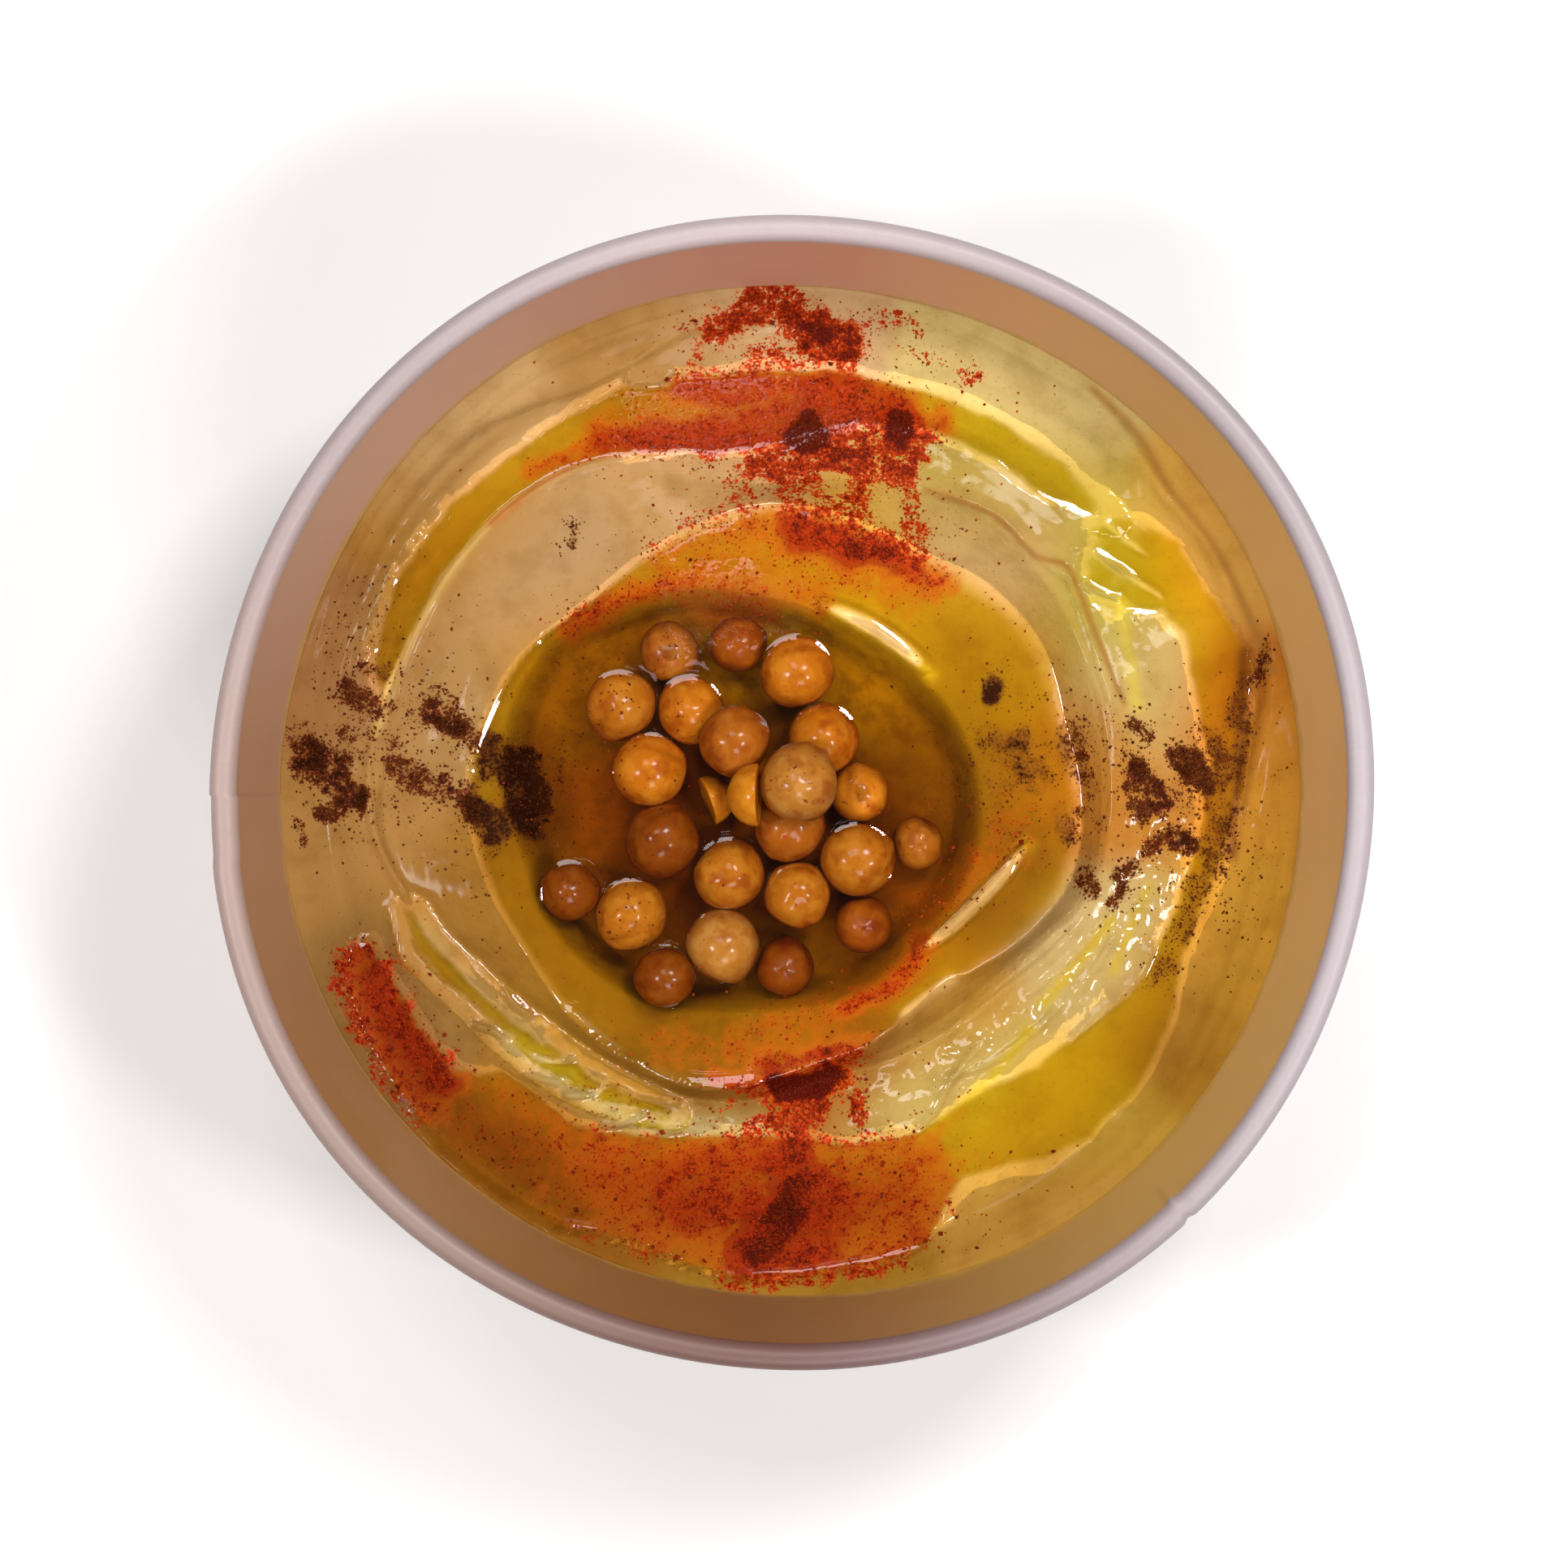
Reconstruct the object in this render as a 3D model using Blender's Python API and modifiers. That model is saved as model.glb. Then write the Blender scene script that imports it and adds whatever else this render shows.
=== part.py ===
"""Hummus in a round paper take-away bowl.

The bowl is a tapered paper wall with a rolled rim and a folded foot, and a
bottom disc whose skirt is held in that fold. The hummus fills it to a little
under the rim. A spoon has spread its top in rings: an outer band against the
wall, a channel, a crest, a terrace and a well. Olive oil stands in four
pools, and whole chickpeas lie in the oil of the well.

The frame is the table: +Z up, the origin under the middle of the bowl.
All sizes are in millimetres and are scaled to metres when a mesh is made.
"""

import math

import bmesh
import bpy
import numpy as np
from mathutils import Euler
from mathutils.bvhtree import BVHTree

MM = 0.001

# The paper bowl
RIM_RADIUS = 75.0
BOWL_HEIGHT = 60.0
FOOT_RADIUS = 62.3
PAPER = 0.6
BEAD_DIAMETER = 3.5
BEAD_END_DEG = -90.0
BEAD_POINTS = 7
FOOT_FOLD_WIDTH = 2.4
FOOT_FOLD_HEIGHT = 5.2
DISC_TOP = 6.5
ROUND_STEPS = 48

# A soft paper bowl is never quite round: lobes as (count, share, angle of the first)
OUT_OF_ROUND = ((2, 0.0042, 7.5), (4, 0.0053, 34.0))

# Free space between pieces that touch
GAP = 0.3

# Heights above the table
FILLING_TOP = 47.0
CENTRE_OIL = 34.0
UPPER_OIL = 37.3
OUTER_OIL = 37.0
SMALL_OIL = 38.1
WELL_FLOOR = 25.8
WELL_BANK = 4.8
LEDGE = 32.3
TERRACE_TOP = 37.7
CREST_STEP = 1.2
OUTER_BAND_START = 58.0
OUTER_BAND_END = 68.4

# Rings round the bowl, as (degrees from +X, millimetres): radii, and the height at the wall
WELL_RIM = (
    (0, 26.0), (20, 25.0), (40, 24.0), (60, 23.8), (80, 25.0), (95, 27.0), (110, 30.0),
    (122, 33.0), (135, 36.0), (148, 39.5), (165, 40.5), (180, 40.0), (193, 38.0),
    (204, 38.4), (216, 37.4), (228, 36.2), (238, 35.0), (250, 32.2), (270, 30.0),
    (290, 29.5),
    (310, 27.5), (340, 27.0),
)
CENTRE_SHORE = (
    (0, 39.8), (15, 38.8), (30, 39.8), (45, 39.4), (60, 37.8), (80, 38.8), (95, 39.8),
    (110, 38.8), (125, 37.8), (140, 38.4), (150, 40.8), (165, 42.9), (180, 44.4),
    (195, 43.4), (210, 42.4), (225, 43.2), (240, 43.4), (252, 42.6), (262, 40.5),
    (275, 37.6), (290, 36.2), (305, 34.2), (318, 35.7), (330, 38.2), (342, 40.2),
)
CREST = (
    (0, 43.5), (20, 44.3), (36, 46.2), (45, 45.8), (55, 46.0), (68, 44.7), (85, 43.5),
    (98, 43.3), (107, 45.5), (115, 49.0), (125, 52.0), (140, 53.6), (160, 54.2),
    (175, 55.8), (188, 56.3), (198, 53.0), (210, 49.6), (222, 46.6), (235, 45.4),
    (250, 45.0), (262, 43.4), (275, 40.2), (290, 38.8), (305, 38.2), (320, 38.8),
    (330, 40.4), (340, 43.0), (350, 43.8),
)
WALL_HEIGHT = (
    (0, 41.6), (60, 41.4), (120, 42.0), (180, 42.0), (205, 40.4), (225, 39.6),
    (245, 40.2), (270, 40.6), (300, 41.8), (330, 42.0),
)

# Shores of the outer pools, as closed outlines of the same kind of points
UPPER_SHORE = (
    (40, 57.4), (50, 58.3), (60, 58.3), (72, 57.8), (85, 58.0), (97, 57.6), (105, 58.6),
    (113, 60.0), (125, 59.8), (140, 61.0), (152, 61.4), (162, 60.0), (167, 57.6),
    (160, 56.0), (148, 55.8), (136, 55.2), (126, 54.0), (118, 52.0), (112, 50.0),
    (106, 48.0), (99, 47.0), (90, 48.0), (80, 51.0), (70, 53.0), (58, 53.0), (48, 53.4),
    (43, 55.4),
)
OUTER_SHORE = (
    (38, 60.0), (33, 63.0), (27, 63.3), (20, 64.5), (16, 65.2), (10, 63.2), (3, 61.4),
    (355, 60.2), (348, 58.8), (341, 58.2), (336, 58.4), (331, 60.2), (325, 61.3),
    (318, 62.5), (311, 62.4), (305, 61.0), (300, 58.8), (294, 58.0), (291, 59.6),
    (289, 62.5), (286, 64.8), (280, 65.4), (272, 66.0), (264, 66.8), (257, 66.0),
    (250, 65.3), (246, 66.0), (242, 67.4), (233, 68.0), (225, 68.0), (215, 67.8),
    (208, 67.0), (202, 66.0), (199, 63.8), (199.5, 61.2), (205, 60.3), (212, 59.8),
    (219, 59.4), (222, 57.5), (224, 54.6), (229, 53.6), (236, 54.4), (241, 53.0),
    (247, 50.4), (255, 48.4), (263, 47.2), (272, 47.2), (280, 48.4), (287, 49.4),
    (293, 48.8), (300, 48.2), (306, 48.8), (312, 50.0), (319, 50.8), (326, 52.3),
    (332, 53.8), (340, 54.3), (348, 55.0), (356, 56.0), (4, 57.0), (10, 56.6),
    (16, 56.8), (22, 57.4), (26, 56.2), (27.5, 53.0), (29, 49.8), (32, 48.4),
    (35.5, 48.6), (38, 51.0), (40, 54.0), (40.5, 57.5),
)
SMALL_SHORE = (
    (197, 55.0), (203, 55.6), (208, 54.0), (214, 52.3), (220, 51.6), (226, 50.8),
    (232, 50.2), (238, 49.2), (245, 47.6), (250, 46.6), (243, 46.4), (236, 46.9),
    (228, 47.3), (221, 48.2), (214, 49.6), (208, 51.2), (202, 53.2), (198, 54.0),
)

# Each outer pool: its shore, level, depth, and the softness of its bank
POOLS = (
    (UPPER_SHORE, UPPER_OIL, 1.9, 1.3),
    (OUTER_SHORE, OUTER_OIL, 1.7, 1.4),
    (SMALL_SHORE, SMALL_OIL, 1.1, 0.8),
)
BANK_SLOPE = 0.9
BANK_LIP = 0.7
BANK_REACH = 4.0

# Low ridges that break the surface of the oil: path, height above it, half width
OIL_RIDGES = (
    (((43, 25.0), (54, 24.8), (65, 25.0), (80, 26.0)), 0.35, 1.1),
    (((311, 27.6), (322, 28.4), (331, 29.8), (340, 31.4), (347, 32.8)), 0.5, 1.3),
)

# Chickpeas on the well's floor: x, y, diameter, and where the beak points in degrees
FLOOR_CHICKPEAS = (
    (-16.8, 19.2, 7.8, 120),
    (-7.4, 20.4, 7.7, 0),
    (-30.2, -13.7, 7.6, 150),
    (17.3, -7.2, 7.0, 100),
    (10.0, -18.0, 7.7, 45),
    (-17.2, -25.4, 7.8, 200),
    (-1.6, -23.8, 7.8, 60),
    (0.8, 16.6, 9.5, 30),
    (-23.0, 11.2, 9.0, 250),
    (-14.0, 11.4, 9.0, 90),
    (-19.8, 3.4, 9.6, 20),
    (4.4, 7.4, 9.3, 80),
    (9.4, -0.6, 8.0, 90),
    (-0.2, -4.6, 9.4, 270),
    (9.4, -9.2, 9.8, 10),
    (-17.8, -6.3, 9.6, 60),
    (-8.6, -11.6, 9.5, 90),
    (0.8, -14.1, 8.6, 270),
    (-22.2, -16.8, 9.5, 240),
    (-9.0, -21.3, 9.7, 285),
)

# Chickpeas that lie on those, and halves: x, y, diameter and beak, and for a half the
# lean of its flat face
HEAP_CHICKPEAS = (
    (-7.8, 6.9, 9.4, 40),
    (0.9, 1.4, 10.2, 80),
)
HALF_CHICKPEAS = (
    (-11.6, -1.2, 7.4, 200, 80),
    (-4.5, -0.4, 9.0, 0, 84),
)
CORE_SHARE = 0.98
BEAK_SHARE = 1.06
SQUASH = 0.97
CHICKPEA_DETAIL = 2
SHOVES = 40

# The spoon's surface, as a fine grid that is then thinned to what its shape needs
GRID_CELLS = 96
GRID_HALF_SIDE = 73.0
SURFACE_KEPT = 0.075
CUTTER_TOP = 70.0
OIL_SLAB = 9.0
OIL_BED_CLEARANCE = 0.4
SHORE_MARGIN = 0.8
CHICKPEA_CLEARANCE = 0.25

PAPER_COLOUR = (0.66, 0.56, 0.55)
HUMMUS_COLOUR = (0.60, 0.38, 0.15)
OIL_COLOUR = (0.50, 0.25, 0.01)
CHICKPEA_COLOUR = (0.56, 0.20, 0.02)


def smooth(t):
    """0 before 0, 1 after 1, and a soft S between them."""
    t = np.clip(t, 0.0, 1.0)
    return t * t * (3.0 - 2.0 * t)


def ramp(value, start, end):
    return smooth((value - start) / (end - start))


def ring(points, degrees):
    """The value at each angle of a smooth closed ring through (degrees, value) points."""
    at, value = (np.array(column, float) for column in zip(*sorted(points)))
    at = np.concatenate([at[-2:] - 360.0, at, at[:2] + 360.0])
    value = np.concatenate([value[-2:], value, value[:2]])
    slope = np.gradient(value, at)
    i = np.clip(np.searchsorted(at, degrees, side="right") - 1, 0, len(at) - 2)
    step = at[i + 1] - at[i]
    t = (degrees - at[i]) / step
    before = (1 + 2 * t) * (1 - t) ** 2 * value[i] + t * (1 - t) ** 2 * step * slope[i]
    after = t * t * (3 - 2 * t) * value[i + 1] - t * t * (1 - t) * step * slope[i + 1]
    return before + after


def flat_points(points):
    """(degrees, radius) points as x and y."""
    degrees, radius = (np.array(column, float) for column in zip(*points))
    angle = np.radians(degrees)
    return np.stack([radius * np.cos(angle), radius * np.sin(angle)], axis=1)


def line_distance(x, y, points, closed):
    """Distance from each place to a line of points and, for a closed one, negative inside it."""
    ends = np.roll(points, -1, axis=0)
    count = len(points) if closed else len(points) - 1
    nearest = np.full(x.shape, np.inf)
    inside = np.zeros(x.shape, bool)
    for (ax, ay), (bx, by) in zip(points[:count], ends[:count]):
        length = (bx - ax) ** 2 + (by - ay) ** 2
        t = np.clip(((x - ax) * (bx - ax) + (y - ay) * (by - ay)) / length, 0, 1)
        nearest = np.minimum(nearest, np.hypot(x - ax - t * (bx - ax), y - ay - t * (by - ay)))
        if closed and ay != by:
            crossed = ((ay > y) != (by > y)) & (x < (bx - ax) * (y - ay) / (by - ay) + ax)
            inside ^= crossed
    return np.where(inside, -nearest, nearest)


def out_of_round(degrees):
    """How far the bowl is pressed out of a true circle, as a factor on its radius."""
    lobes = [
        share * np.cos(np.radians(count * (degrees - first)))
        for count, share, first in OUT_OF_ROUND
    ]
    return 1.0 + sum(lobes)


def spread_rings(radius, degrees):
    """The hummus without its outer pools: floor, ledge, terrace, crest and outer band."""
    well = ring(WELL_RIM, degrees)
    shore = ring(CENTRE_SHORE, degrees)
    crest = ring(CREST, degrees)
    wall = ring(WALL_HEIGHT, degrees)
    along_ledge = np.clip((radius - well) / (shore - well), 0, 1)
    height = LEDGE + (CENTRE_OIL - LEDGE) * along_ledge**2
    terrace_width = np.maximum(crest - 1.0 - shore, 1.0)
    height += (TERRACE_TOP - CENTRE_OIL) * np.clip((radius - shore) / terrace_width, 0, 1)
    height += CREST_STEP * ramp(radius, crest - 1.0, crest + 0.4)
    crest_top = TERRACE_TOP + CREST_STEP
    height += (wall - crest_top) * ramp(radius, OUTER_BAND_START, OUTER_BAND_END)
    height -= (LEDGE - WELL_FLOOR) * ramp(well + 0.5 - radius, 0.0, WELL_BANK)
    return height


def carve_pool(height, x, y, pool):
    """Sinks one pool's bed below its oil level and gives it a bank all round."""
    outline, level, depth, softness = pool
    away = line_distance(x, y, flat_points(outline), closed=True)
    bed = level - depth * (1.0 - np.exp(np.minimum(away, 0.0) / softness))
    outward = np.maximum(away, 0.0)
    steepest = level + BANK_SLOPE * outward
    lip = level + BANK_LIP * (1.0 - np.exp(-outward / softness))
    lip = height + (lip - height) * (1.0 - ramp(outward, softness, BANK_REACH))
    bank = np.minimum(np.maximum(height, lip), steepest)
    return np.where(away < 0.0, np.minimum(height, bed), bank)


def spooned_height(x, y):
    """The height of the hummus at each place."""
    radius = np.hypot(x, y)
    degrees = np.degrees(np.arctan2(y, x)) % 360.0
    height = spread_rings(radius, degrees)
    for pool in POOLS:
        height = carve_pool(height, x, y, pool)
    for path, rise, half_width in OIL_RIDGES:
        away = line_distance(x, y, flat_points(path), closed=False)
        ridge = CENTRE_OIL + rise - 1.6 * (away / half_width) ** 2
        height = np.maximum(height, np.where(away < 2 * half_width, ridge, height))
    return height


def clear_scene():
    for thing in list(bpy.data.objects):
        bpy.data.objects.remove(thing, do_unlink=True)


def collection(name):
    made = bpy.data.collections.new(name)
    bpy.context.scene.collection.children.link(made)
    return made


def finish(name, colour, roughness):
    material = bpy.data.materials.new(name)
    material.use_nodes = True
    shader = material.node_tree.nodes["Principled BSDF"]
    shader.inputs["Base Color"].default_value = (*colour, 1.0)
    shader.inputs["Roughness"].default_value = roughness
    shader.inputs["Metallic"].default_value = 0.0
    return material


def place(name, mesh, home, material=None):
    thing = bpy.data.objects.new(name, mesh)
    home.objects.link(thing)
    if material is not None:
        mesh.materials.clear()
        mesh.materials.append(material)
    return thing


def as_cutter(thing):
    thing.hide_render = True
    thing.display_type = "WIRE"
    return thing


def settled_mesh(thing):
    """A new mesh of the object with its modifiers applied."""
    bpy.context.view_layer.update()
    graph = bpy.context.evaluated_depsgraph_get()
    return bpy.data.meshes.new_from_object(thing.evaluated_get(graph))


def settle(thing):
    """Applies the object's modifiers to its own mesh."""
    mesh = settled_mesh(thing)
    thing.modifiers.clear()
    thing.data = mesh
    return thing


def add_screw(thing):
    screw = thing.modifiers.new("Turned", "SCREW")
    screw.steps = screw.render_steps = ROUND_STEPS
    screw.use_merge_vertices = True
    screw.merge_threshold = 0.0001
    screw.use_smooth_shade = True
    return screw


def add_boolean(thing, cutter, operation):
    cut = thing.modifiers.new(operation.title(), "BOOLEAN")
    cut.operation = operation
    cut.solver = "EXACT"
    cut.object = cutter
    return cut


def turned(name, profile, home, material):
    """A profile of (radius, height) points, turned about Z and pressed out of round."""
    mesh = bpy.data.meshes.new(name)
    points = [(radius * MM, 0.0, height * MM) for radius, height in profile]
    mesh.from_pydata(points, [(i, i + 1) for i in range(len(points) - 1)], [])
    thing = place(name, mesh, home)
    add_screw(thing)
    settle(thing)
    for vertex in thing.data.vertices:
        degrees = math.degrees(math.atan2(vertex.co.y, vertex.co.x))
        factor = float(out_of_round(degrees))
        vertex.co.x *= factor
        vertex.co.y *= factor
    thing.data.materials.append(material)
    return thing


def add_paper_thickness(thing):
    wall = thing.modifiers.new("Paper", "SOLIDIFY")
    wall.thickness = PAPER * MM
    wall.offset = 0.0
    wall.use_even_offset = True
    return wall


def wall_line(height):
    """Radius of the middle of the paper wall at a height."""
    bead_radius = (BEAD_DIAMETER - PAPER) / 2
    top = RIM_RADIUS - BEAD_DIAMETER / 2 - bead_radius
    foot = FOOT_RADIUS - PAPER / 2
    bead_height = BOWL_HEIGHT - BEAD_DIAMETER / 2
    return foot + (top - foot) * (height - PAPER / 2) / (bead_height - PAPER / 2)


def bead_profile():
    """The rolled rim: out of the wall, over the top and back under, towards the wall."""
    bead_radius = (BEAD_DIAMETER - PAPER) / 2
    middle = (RIM_RADIUS - BEAD_DIAMETER / 2, BOWL_HEIGHT - BEAD_DIAMETER / 2)
    angles = np.linspace(math.radians(BEAD_END_DEG), math.pi, BEAD_POINTS)
    return [
        (middle[0] + bead_radius * math.cos(a), middle[1] + bead_radius * math.sin(a))
        for a in angles
    ]


def make_bowl_wall(home, paper):
    foot = FOOT_RADIUS - PAPER / 2
    fold = foot - FOOT_FOLD_WIDTH + PAPER
    profile = bead_profile()
    profile += [(foot, PAPER / 2), (fold, PAPER / 2), (fold, FOOT_FOLD_HEIGHT)]
    wall = turned("bowl_wall", profile, home, paper)
    add_paper_thickness(wall)
    return wall


def make_bowl_base(home, paper):
    """The bottom disc, with its skirt turned down into the fold of the foot."""
    skirt = FOOT_RADIUS - FOOT_FOLD_WIDTH / 2
    disc = DISC_TOP - PAPER / 2
    profile = [(0.0, disc), (skirt - 0.5, disc), (skirt, disc - 0.5)]
    profile += [(skirt, PAPER + GAP)]
    base = turned("bowl_base", profile, home, paper)
    add_paper_thickness(base)
    return base


def make_spoon_cutter(name, raised, home):
    """All the space above the spooned surface, raised by a little for what lies on it."""
    size = GRID_HALF_SIDE * MM
    shape = bmesh.new()
    bmesh.ops.create_grid(shape, x_segments=GRID_CELLS, y_segments=GRID_CELLS, size=size)
    places = np.array([vertex.co for vertex in shape.verts]) / MM
    heights = spooned_height(places[:, 0], places[:, 1])
    for vertex, height in zip(shape.verts, heights):
        vertex.co.z = height * MM
    mesh = bpy.data.meshes.new(name)
    shape.to_mesh(mesh)
    shape.free()
    cutter = as_cutter(place(name, mesh, home))
    thin = cutter.modifiers.new("Thinned", "DECIMATE")
    thin.ratio = SURFACE_KEPT
    settle(cutter)
    shape = bmesh.new()
    shape.from_mesh(cutter.data)
    bmesh.ops.translate(shape, vec=(0, 0, raised * MM), verts=shape.verts)
    lid = bmesh.ops.extrude_face_region(shape, geom=shape.faces[:])
    for part in lid["geom"]:
        if isinstance(part, bmesh.types.BMVert):
            part.co.z = CUTTER_TOP * MM
    bmesh.ops.recalc_face_normals(shape, faces=shape.faces)
    shape.to_mesh(cutter.data)
    shape.free()
    return cutter


def make_filling(home, hummus, cutter):
    """The hummus: the space in the bowl, up to the surface that the spoon left."""
    bottom = DISC_TOP + GAP
    low = wall_line(bottom) - PAPER / 2 - GAP
    high = wall_line(FILLING_TOP) - PAPER / 2 - GAP
    profile = [(0.0, FILLING_TOP), (high, FILLING_TOP), (low, bottom), (0.0, bottom)]
    filling = turned("hummus", profile, home, hummus)
    add_boolean(filling, cutter, "DIFFERENCE")
    return filling


def chickpea_mesh(name, diameter, beak_degrees, turn_degrees=0.0):
    """A ball, a little flat on its sides, with a beak."""
    radius = diameter / 2 * MM
    shape = bmesh.new()
    bmesh.ops.create_icosphere(shape, subdivisions=CHICKPEA_DETAIL, radius=radius * CORE_SHARE)
    beak = max(shape.verts, key=lambda vertex: vertex.co.x)
    beak.co *= BEAK_SHARE
    for vertex in shape.verts:
        vertex.co.y *= SQUASH
    turn = Euler((math.radians(turn_degrees), 0.0, math.radians(beak_degrees)))
    bmesh.ops.rotate(shape, verts=shape.verts, matrix=turn.to_matrix(), cent=(0, 0, 0))
    mesh = bpy.data.meshes.new(name)
    shape.to_mesh(mesh)
    shape.free()
    return mesh


def half_chickpea_mesh(name, diameter, facing_degrees, lean_degrees):
    """Half a ball, with its flat side facing a direction and leaning from the level."""
    mesh = chickpea_mesh(name, diameter, facing_degrees)
    shape = bmesh.new()
    shape.from_mesh(mesh)
    facing = math.radians(facing_degrees)
    lean = math.radians(lean_degrees)
    normal = (
        math.sin(lean) * math.cos(facing),
        math.sin(lean) * math.sin(facing),
        math.cos(lean),
    )
    bmesh.ops.bisect_plane(
        shape,
        geom=shape.verts[:] + shape.edges[:] + shape.faces[:],
        plane_co=(0, 0, 0),
        plane_no=normal,
        clear_outer=True,
    )
    rim = [edge for edge in shape.edges if edge.is_boundary]
    bmesh.ops.contextual_create(shape, geom=rim)
    shape.to_mesh(mesh)
    shape.free()
    return mesh


def world_tree(things):
    """One search tree of the faces of all these objects."""
    points = []
    faces = []
    for thing in things:
        first = len(points)
        points += [thing.matrix_world @ vertex.co for vertex in thing.data.vertices]
        faces += [[first + i for i in face.vertices] for face in thing.data.polygons]
    return BVHTree.FromPolygons(points, faces)


def rest_height(surface, x, y, radius):
    """How high the middle of a ball is when it rests on a surface below it."""
    best = 0.0
    for share in (0.0, 0.3, 0.55, 0.75, 0.9, 0.98):
        for angle in np.radians(np.arange(0, 360, 30)):
            at = (x + share * radius * math.cos(angle), y + share * radius * math.sin(angle))
            found = surface.ray_cast((at[0] * MM, at[1] * MM, 0.0), (0, 0, 1))[0]
            drop = radius * math.sqrt(1 - share * share)
            best = max(best, found.z / MM + drop)
    return best


def settled_balls(surface):
    """Middles (x, y, z) and radii of the floor's chickpeas, shoved clear of each other."""
    x, y, diameter, _ = (np.array(column, float) for column in zip(*FLOOR_CHICKPEAS))
    radius = diameter / 2
    middle = np.stack([x, y, np.zeros_like(x)], axis=1)
    for _ in range(SHOVES):
        for i in range(len(middle)):
            middle[i, 2] = rest_height(surface, middle[i, 0], middle[i, 1], radius[i]) + GAP
        for i in range(len(middle)):
            for j in range(i):
                apart = middle[i] - middle[j]
                missing = radius[i] + radius[j] + GAP - np.linalg.norm(apart)
                if missing > 0:
                    shove = apart[:2] / np.linalg.norm(apart[:2]) * missing / 2
                    middle[i, :2] += shove
                    middle[j, :2] -= shove
    return middle, radius


def heaped_height(x, y, radius, middles, radii):
    """How high the middle of a ball is when it rests on other balls."""
    best = 0.0
    for middle, other in zip(middles, radii):
        reach = radius + other + GAP
        across = math.hypot(x - middle[0], y - middle[1])
        if across < reach:
            best = max(best, middle[2] + math.sqrt(reach**2 - across**2))
    return best


def drop_onto(thing, pile, clearance):
    """Lowers a piece until its nearest point is a clearance above or below the pile."""
    bpy.context.view_layer.update()
    below = world_tree(pile)
    own = world_tree([thing])
    falls = []
    for vertex in thing.data.vertices:
        start = thing.matrix_world @ vertex.co
        hit = below.ray_cast(start, (0, 0, -1))[0]
        if hit is not None:
            falls.append(start.z - hit.z)
    for other in pile:
        for vertex in other.data.vertices:
            start = other.matrix_world @ vertex.co
            hit = own.ray_cast(start, (0, 0, 1))[0]
            if hit is not None:
                falls.append(hit.z - start.z)
    thing.location.z -= min(falls) - clearance * MM
    bpy.context.view_layer.update()


def make_chickpeas(home, skin, cutter):
    """Every chickpea, from those on the well's floor up to the ones on top."""
    surface = world_tree([cutter])
    middles, radii = settled_balls(surface)
    made = []
    for middle, (_, _, diameter, beak) in zip(middles, FLOOR_CHICKPEAS):
        name = f"chickpea_{len(made) + 1:02d}"
        thing = place(name, chickpea_mesh(name, diameter, beak, 137.5 * len(made)), home, skin)
        thing.location = middle * MM
        made.append(thing)
    for x, y, diameter, beak in HEAP_CHICKPEAS:
        name = f"chickpea_{len(made) + 1:02d}"
        thing = place(name, chickpea_mesh(name, diameter, beak), home, skin)
        height = heaped_height(x, y, diameter / 2, middles, radii)
        thing.location = (x * MM, y * MM, height * MM)
        middles = np.vstack([middles, (x, y, height)])
        radii = np.append(radii, diameter / 2)
        made.append(thing)
    for number, (x, y, diameter, facing, lean) in enumerate(HALF_CHICKPEAS, 1):
        name = f"half_chickpea_{number:02d}"
        thing = place(name, half_chickpea_mesh(name, diameter, facing, lean), home, skin)
        thing.location = (x * MM, y * MM, FILLING_TOP * MM)
        drop_onto(thing, made + [cutter], 2 * GAP)
        made.append(thing)
    return made


def largest_island(mesh):
    """Keeps only the biggest joined-up body of a mesh."""
    shape = bmesh.new()
    shape.from_mesh(mesh)
    left = set(shape.verts)
    islands = []
    while left:
        island = [left.pop()]
        for vertex in island:
            for edge in vertex.link_edges:
                other = edge.other_vert(vertex)
                if other in left:
                    left.remove(other)
                    island.append(other)
        islands.append(island)
    islands.sort(key=len)
    extra = [vertex for island in islands[:-1] for vertex in island]
    bmesh.ops.delete(shape, geom=extra, context="VERTS")
    shape.to_mesh(mesh)
    shape.free()


def make_oil(name, outline, level, home, oil, cutters):
    """A slab of oil inside an outline, up to its level, less what lies in it."""
    bed = (level - OIL_SLAB) * MM
    points = outline * MM
    curve = bpy.data.curves.new(name, "CURVE")
    curve.dimensions = "2D"
    curve.fill_mode = "BOTH"
    curve.extrude = OIL_SLAB / 2 * MM
    spline = curve.splines.new("POLY")
    spline.points.add(len(points) - 1)
    for point, (x, y) in zip(spline.points, points):
        point.co = (x, y, 0.0, 1.0)
    spline.use_cyclic_u = True
    drawn = place(name + "_outline", curve, home)
    drawn.location.z = bed + OIL_SLAB / 2 * MM
    mesh = settled_mesh(drawn)
    mesh.transform(drawn.matrix_world)
    bpy.data.objects.remove(drawn)
    shape = bmesh.new()
    shape.from_mesh(mesh)
    bmesh.ops.remove_doubles(shape, verts=shape.verts, dist=1e-6)
    bmesh.ops.recalc_face_normals(shape, faces=shape.faces)
    shape.to_mesh(mesh)
    shape.free()
    pool = place(name, mesh, home, oil)
    raised, *lying_in_it = cutters
    add_boolean(pool, raised, "INTERSECT")
    for piece in lying_in_it:
        add_boolean(pool, piece, "DIFFERENCE")
    settle(pool)
    largest_island(pool.data)
    return pool


def widened(outline, margin):
    """An outline with each point moved outward by a margin."""
    along = np.roll(outline, -1, axis=0) - np.roll(outline, 1, axis=0)
    outward = np.stack([along[:, 1], -along[:, 0]], axis=1)
    outward /= np.linalg.norm(outward, axis=1)[:, None]
    x, y = outline.T
    area = np.sum(x * np.roll(y, -1) - np.roll(x, -1) * y)
    return outline + outward * margin * np.sign(area)


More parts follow.
